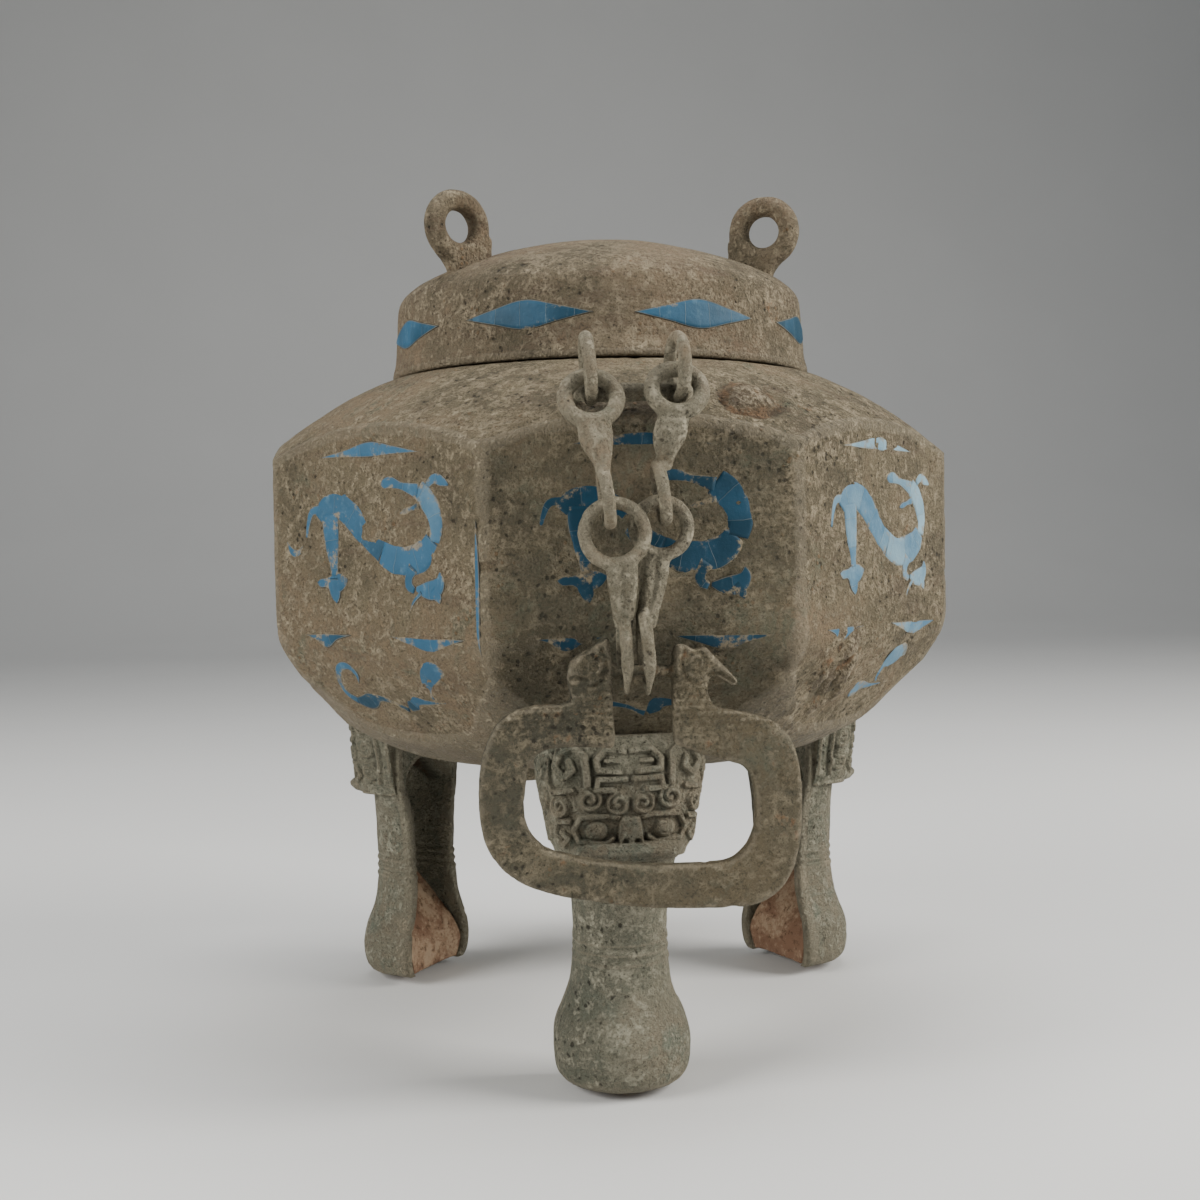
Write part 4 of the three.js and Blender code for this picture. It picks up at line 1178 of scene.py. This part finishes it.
clay = clayMaterial()
for k, (name, place) in enumerate((("front", 0), ("back_right", 120), ("back_left", -120))):
    maskTurn = leg["frontMaskTurn"] if name == "front" else 0
    fine = (1.0 if name == "front" else 0.68) * 1
    made = [legMesh("legColumn_" + name, k), maskMesh("legMask_" + name, maskTurn, fine, k),
            snoutMesh("legSnout_" + name, maskTurn, k), coreMesh("clayCore_" + name, k)]
    for mesh in made:
        setPoints(mesh, turnedBy(pointsOf(mesh), place + leg["twist"]))
    for mesh in made[:3]:
        addPiece(mesh.name, mesh, legPatina, ["leg_" + name])
    addPiece(made[3].name, made[3], clay, ["clay_core_" + name])
print("legs made")

# Inlay: every stone strip is a ribbon laid along a line, its width changing as it goes
inlay = {"lift": 0.12, "lidLift": 0.3, "liftStep": 0.013, "depth": 0.6, "sunkRim": 0.3, "rimWidth": 0.5,
         "step": 1.1, "acrossSteps": 7, "pieceLength": 11.5, "frontNeck": 1.5, "bandRadius": 96.0}
# each ribbon: stone tone (0 dark teal to 1 pale), then [across, height, half width] stations
dragon = {
    "tail": (0.55, [(-29.5, 231, 2.2), (-35.4, 230.4, 1.9), (-38, 225.5, 1.4), (-39.2, 219.8, 1.0)]),
    "tailCurl": (0.35, [(-41.6, 216.6, 0.3), (-44.6, 213.6, 1.6), (-48.6, 213.8, 1.8), (-52, 218, 0.5)]),
    "body": (0.42, [(-31.2, 227.4, 3.2), (-27.4, 231.4, 4.8), (-20.6, 232.6, 5.6), (-13.4, 230, 6.2),
                    (-7, 224, 6), (-0.4, 217.4, 5.6), (6.4, 212.8, 5.7)]),
    "belly": (0.52, [(6.4, 212.8, 5.7), (14.6, 209.6, 6.6), (23.4, 209.6, 6.9), (30.6, 212.6, 6.2),
                     (34.6, 217.4, 4.6)]),
    "neck": (0.8, [(35.8, 216.6, 3.2), (37, 222.4, 3.8), (35.2, 229, 4.6), (31.4, 234.2, 5.0),
                   (27.6, 237.2, 4.2)]),
    "muzzle": (0.5, [(27.6, 236.4, 3.4), (22.4, 237.8, 2.4), (17.6, 239, 1.8), (12, 240.4, 2.7),
                     (8, 240, 2.2), (6.6, 239.6, 0.5)]),
    "jaw": (0.35, [(28, 231, 1.8), (23.6, 229.8, 1.2), (19.8, 228.8, 1.5), (17, 228, 0.4)]),
    "crest": (0.6, [(32.6, 238.6, 1.6), (36.4, 241, 2.2), (40.4, 239.8, 2.3), (44, 238.2, 0.8)]),
    "hindLeg": (0.45, [(-24.4, 229, 5.2), (-24, 222, 5.0), (-23.4, 215, 4.2), (-22.6, 208.6, 2.8),
                       (-22.2, 203.6, 2.2)]),
    "hindToes": (0.4, [(-33.2, 201.2, 0.4), (-31, 200.8, 2.0), (-27, 201, 2.2), (-22.6, 200.6, 4.4),
                       (-17.4, 201.6, 3.4), (-14.2, 202.4, 0.8)]),
    "hindHeel": (0.4, [(-22.6, 203, 3.6), (-22.4, 198.6, 3.8), (-21.6, 194.8, 2.6), (-21.2, 192.6, 0.6)]),
    "foreLeg": (0.4, [(24, 207, 3.4), (21.6, 203.4, 2.4), (21.4, 199.8, 2.4), (24.4, 197.8, 1.6)]),
    "foreFoot": (0.55, [(25.6, 198.6, 1.2), (30.4, 198, 3.4), (35.6, 198.4, 4.2), (38.6, 201.6, 2.8),
                        (38.6, 205, 0.6)]),
    "foreToe": (0.5, [(34.6, 198.4, 2.6), (37.4, 195, 2.2), (38.2, 192.8, 0.5)]),
    "foreHeel": (0.4, [(28.4, 197.2, 1.2), (24, 193.6, 0.9), (21.6, 189.4, 0.4)]),
}
lowBand = {
    "topLozenge": (0.7, [(-30.4, 252.2, 0.2), (-14, 253.2, 1.7), (0, 254.2, 3.2), (14, 253.2, 1.8),
                         (29, 251.6, 0.2)]),
    "lowLeft": (0.3, [(-42.6, 179.3, 0.2), (-36, 178.4, 1.3), (-30, 177, 3.1), (-23, 178.6, 1.4),
                      (-13.6, 179.6, 0.2)]),
    "lowRight": (0.45, [(9.6, 179.6, 0.2), (20, 178, 1.7), (31, 176.4, 3.2), (40, 177.8, 1.7),
                        (50.6, 179, 0.2)]),
    "scrollLoop": (0.55, [(-21.2, 158.6, 0.3), (-19.6, 162.8, 1.3), (-22.8, 166.4, 1.8),
                          (-28.4, 165.2, 1.9), (-32.4, 160, 1.7), (-32.2, 154, 1.5), (-27.6, 150.8, 1.9)]),
    "scrollWave": (0.15, [(-27.6, 150.8, 1.8), (-22.6, 150.6, 3.3), (-18.6, 151.4, 3.5), (-13, 152.6, 1.7),
                          (-6, 151.4, 1.2), (-1.6, 149.4, 1.2), (1.4, 148.2, 1.5)]),
    "scrollTail": (0.3, [(2.6, 148.6, 1.5), (5.6, 151.4, 3.8), (9, 152.6, 2.3), (16, 152.2, 1.2),
                         (25.4, 152.4, 0.6)]),
    "comma": (0.4, [(33.4, 164.4, 0.8), (30.4, 165.8, 3.6), (25.4, 165, 5.4), (21, 161.6, 4.1),
                    (19, 157, 2.3), (19.8, 153.6, 0.8)]),
}
# a thin strip by the facet's right edge, left on two of the facets
stripFacets = (3, 7)
stripTone = 0.45
edgeStrip = [(57.6, 171, 0.2), (57.9, 182, 1.0), (58.1, 196, 1.3), (58, 212, 1.1), (57.7, 224, 0.2)]
# per facet, anticlockwise from the front: how the tones are scaled and shifted, partly the stones' own
# tones and partly painted shade on the dark front facet and painted light on the pale front-right one, and
# strips that are lost
facetToneAndShade = [(0.2, -0.06), (0.6, 0.42), (1, 0.05), (1, -0.05), (0.6, 0), (1, 0.1), (1, 0), (0.85, -0.1)]
lost = {0: ("tailCurl", "foreHeel", "scrollLoop", "comma", "crest"),
        1: ("scrollLoop", "tailCurl", "scrollWave"), 2: ("foreHeel",), 3: ("comma", "jaw"),
        4: ("tailCurl", "scrollTail"), 5: ("crest",), 6: ("scrollLoop",), 7: ()}


def ribbon(stations, step, across):
    # points across and along the strip, with how far each lies from its edge
    s = np.asarray(stations, float)
    length = np.sum(np.hypot(*np.diff(s[:, :2], axis=0).T))
    line = curve(s, max(int(length / step), 8))
    line[:, 2] = np.maximum(line[:, 2], 0.05)
    run = np.gradient(line[:, :2], axis=0)
    run /= np.maximum(np.linalg.norm(run, axis=1)[:, None], 1e-9)
    side = np.column_stack([-run[:, 1], run[:, 0]])
    t = np.linspace(-1, 1, across)
    spots = line[:, None, :2] + side[:, None, :] * (line[:, 2:3] * t)[..., None]
    edge = line[:, 2:3] * (1 - np.abs(t))
    along = np.concatenate([[0], np.cumsum(np.linalg.norm(np.diff(line[:, :2], axis=0), axis=1))])
    return spots, edge, np.repeat(along[:, None], across, 1)


def onFacet(spots, place, lift):
    # flat [across, height] spots laid on the facet that looks towards the given angle
    a = math.radians(place)
    out = faceOut(spots[:, 1]) + lift
    return np.column_stack([out * math.sin(a) + spots[:, 0] * math.cos(a),
                            -out * math.cos(a) + spots[:, 0] * math.sin(a), spots[:, 1]])


def onLid(spots, place, lift):
    # [distance round, height] spots laid on the lid's upright band
    out = np.interp(spots[:, 1], lidOutside[:, 1], lidOutside[:, 0]) + lift
    a = np.radians(place) + spots[:, 0] / inlay["bandRadius"]
    return np.column_stack([out * np.sin(a), -out * np.cos(a), spots[:, 1]])


def layInlay(name, jobs, material, nodes):
    # each job: stations, place, stone tone, how it is laid, lift
    points, faces, marks, start = [], [], [], 0
    for stations, place, shade, lay, lift in jobs:
        spots, rim, run = ribbon(stations, inlay["step"] * (1), inlay["acrossSteps"])
        rows, across = rim.shape
        # a cushion that sinks at its rim, so that the strip sits in the bronze
        lifts = lift - inlay["sunkRim"] * (1 - blend(rim.ravel(), 0.0, inlay["rimWidth"]))
        spots = spots.reshape(-1, 2)
        points += [lay(spots, place, lifts), lay(spots, place, -inlay["depth"])]
        faces += rightWayOut(np.vstack(points), slabFaces(rows, across, start))
        marks.append(np.tile([np.full(rows * across, shade), rim.ravel(), run.ravel() + shade * 40], 2))
        start += 2 * rows * across
    mesh = meshFrom(name, np.vstack(points), faces, dict(zip(("tone", "rim", "along"), np.hstack(marks))))
    addPiece(name, mesh, material, nodes)


def stoneMaterial(name, dirtFrom):
    sh = Shader(name)
    at = sh.place()
    tone, rim, along = (sh.attribute(key) for key in ("tone", "rim", "along"))
    broad = sh.noise(at, 60, 4, 0.6)
    fine = sh.noise(at, 420, 5, 0.7)
    veins = sh.noise(sh.place((1, 1, 0.25)), 180, 5, 0.7)
    crust = sh.noise(at, 110, 6, 0.75) * 0.6 + fine * 0.4
    # the strips are pieced: every few millimetres a joint, with its own shade beyond it
    cut = along + sh.noise(at, 90, 2) * 2.2
    pieceNumber = sh.number("FLOOR", cut / inlay["pieceLength"])
    shade = sh.number("FRACT", sh.number("SINE", pieceNumber * 12.99) * 43.7)
    joint = sh.number("ABSOLUTE", sh.number("FRACT", cut / inlay["pieceLength"]) - 0.5)
    jointLine = sh.band(joint, 0.488, 0.498)
    # from dark teal through blue to pale
    deep = tone + (shade - 0.5) * 0.22 + (broad - 0.5) * 0.5
    deep = sh.number("MINIMUM", sh.number("MAXIMUM", deep, 0.0), 1.0)
    veined = sh.band(veins * 0.6 + fine * 0.4, 0.52, 0.68)
    # a thin bright wire round each strip, a dark groove outside it painted as the shadow along the strip's
    # sunk edge, and soil over all
    wire = sh.band(rim, 0.45, 0.6, 1.0, 0.0)
    # painted shadow in the groove round each strip
    groove = sh.band(rim, 0.28, 0.40, 1.0, 0.0)
    dirty = sh.band(crust * 0.65 + broad * 0.4 - rim * 0.02, dirtFrom, dirtFrom + 0.065)
    soil = sh.mix(sh.band(fine, 0.42, 0.56), (0.10, 0.083, 0.054), (0.24, 0.195, 0.125))
    colour = (0.006, 0.036, 0.062)
    for amount, over in (
            (sh.band(deep, 0.0, 0.5), (0.028, 0.10, 0.175)), (sh.band(deep, 0.5, 1.0), (0.20, 0.31, 0.37)),
            (veined * (0.08 + deep * 0.5), (0.25, 0.38, 0.45)),
            (jointLine * (0.25 + deep * 0.3), (0.33, 0.36, 0.33)),
            (wire * 0.55, (0.27, 0.23, 0.15)), (groove * 0.85, (0.035, 0.032, 0.024)),
            (dirty * (0.92 - deep * 0.25), soil)):
        colour = sh.mix(amount, colour, over)
    height = fine * 0.3 + crust * 0.5 + jointLine * 0.3 + wire * 0.3
    return sh.finish(colour, 0.48 + dirty * 0.35 + fine * 0.15, height, 0.0005)


stone = stoneMaterial("blueStone", 0.505)
lidStone = stoneMaterial("lidStone", 0.56)
for k in range(8):
    # the front facet's stones are darkened as painted shade and the front-right facet's paled as painted
    # light, over their own tones
    scale, shift = facetToneAndShade[k]
    jobs = []
    for n, (key, (shade, stations)) in enumerate({**dragon, **lowBand}.items()):
        if key in lost[k]:
            continue
        if (k, key) == (0, "neck"):
            # the front dragon's neck is broader than its neighbours'
            stations = [(x, z, w * inlay["frontNeck"]) for x, z, w in stations]
        # crossing strips lie at slightly different heights
        lift = inlay["lift"] + inlay["liftStep"] * (n % 15)
        jobs.append((stations, k * 45, min(max(shade * scale + shift, 0), 1), onFacet, lift))
    if k in stripFacets:
        jobs.append((edgeStrip, k * 45, stripTone, onFacet, inlay["lift"]))
    layInlay(f"inlayFacet{k + 1}", jobs, stone, ["vessel_body"])

# lozenges round the lid's band: first one's place, height, how much higher every other one sits
lozenge = {"first": -24.85, "height": 310.0, "other": 0.3, "across": (-29, -15, 0, 15, 29),
           "halfWidth": (0.2, 3.4, 6.4, 3.4, 0.2)}
jobs = []
for k in range(8):
    height = lozenge["height"] + (0.0 if k % 2 else lozenge["other"])
    stations = [(x, height, w) for x, w in zip(lozenge["across"], lozenge["halfWidth"])]
    tone = 0.16 + 0.14 * math.sin(k * 2.1)
    jobs.append((stations, lozenge["first"] + 45 * k, tone, onLid, inlay["lidLift"]))
layInlay("inlayLid", jobs, lidStone, ["lid"])
print("inlay laid")

# Stage: pale floor and backdrop, soft light, the camera where the photo was taken from
stage = {
    "camera": (-0.07407, -0.70308, 0.21265), "azimuth": -5.85, "elevation": 1.96, "roll": -1.06,
    "lens": 44.45, "sensor": 36.0, "floorSize": 12.0, "sky": (0.9, 0.95, 1.0, 1), "skyStrength": 0.22,
    # each light: place, the point it looks at, size, power, colour
    "lights": {
        "leftSoft": ((-1.6, -0.7, 1.0), (0, 0, 0.18), 1.0, 40, (1.0, 0.98, 0.94)),
        "rightSoft": ((1.6, -0.5, 1.0), (0, 0, 0.18), 1.0, 58, (1.0, 0.97, 0.92)),
        "topSoft": ((0.1, 0.1, 2.1), (0, 0, 0.2), 1.2, 30, (1.0, 1.0, 1.0))},
}


def floorMaterial():
    sh = Shader("paleFloor")
    broad = sh.noise(sh.place(), 3, 2, 0.5)
    sh.feed(sh.surface.inputs["Base Color"], sh.mix(broad, (0.60, 0.60, 0.59), (0.64, 0.64, 0.63)))
    sh.feed(sh.surface.inputs["Roughness"], 0.75)
    return sh.material


def makeFloor():
    # a floor that curves up into a wall behind the object
    size = stage["floorSize"]
    profile = curve([(-size, 0), (-2, 0), (2.2, 0), (3.0, 0.1), (3.6, 0.5), (3.9, 1.2), (4, 2.4), (4, 6)],
                    60)
    x = np.array([-size, size])
    points = np.array([(xx, y, z) for y, z in profile for xx in x]) * 1000
    mesh = meshFrom("floor", points, [flip(gridFaces(60, 2))])
    mesh.materials.append(floorMaterial())
    piece = bpy.data.objects.new("floor", mesh)
    bpy.context.scene.collection.objects.link(piece)
    return piece


def areaLight(name, place, aim, size, power, colour):
    data = bpy.data.lights.new(name, "AREA")
    data.shape, data.size, data.energy, data.color = "SQUARE", size, power, colour
    light = bpy.data.objects.new(name, data)
    light.location = place
    light.rotation_euler = (Vector(aim) - Vector(place)).to_track_quat("-Z", "Y").to_euler()
    bpy.context.scene.collection.objects.link(light)
    return light


lights = [areaLight(name, *values) for name, values in stage["lights"].items()]
world = bpy.data.worlds.new("studio")
world.use_nodes = True
background = world.node_tree.nodes["Background"]
background.inputs["Color"].default_value = stage["sky"]
background.inputs["Strength"].default_value = stage["skyStrength"]
bpy.context.scene.world = world
makeFloor()


def makeCamera():
    # looks from the side that the azimuth and the elevation give, rolled a little
    a, e = math.radians(stage["azimuth"]), math.radians(stage["elevation"])
    back = Vector((math.sin(a) * math.cos(e), -math.cos(a) * math.cos(e), math.sin(e)))
    right = Vector((math.cos(a), math.sin(a), 0))
    roll = Matrix.Rotation(math.radians(stage["roll"]), 3, "Z")
    camera = bpy.data.objects.new("camera", bpy.data.cameras.new("camera"))
    camera.data.lens, camera.data.sensor_width = stage["lens"], stage["sensor"]
    camera.data.clip_start, camera.data.clip_end = 0.05, 50
    camera.rotation_mode = "QUATERNION"
    camera.location = stage["camera"]
    turnTo = Matrix((right, back.cross(right), back)).transposed() @ roll
    camera.rotation_quaternion = turnTo.to_quaternion()
    bpy.context.scene.collection.objects.link(camera)
    bpy.context.scene.camera = camera


makeCamera()
print("stage set")
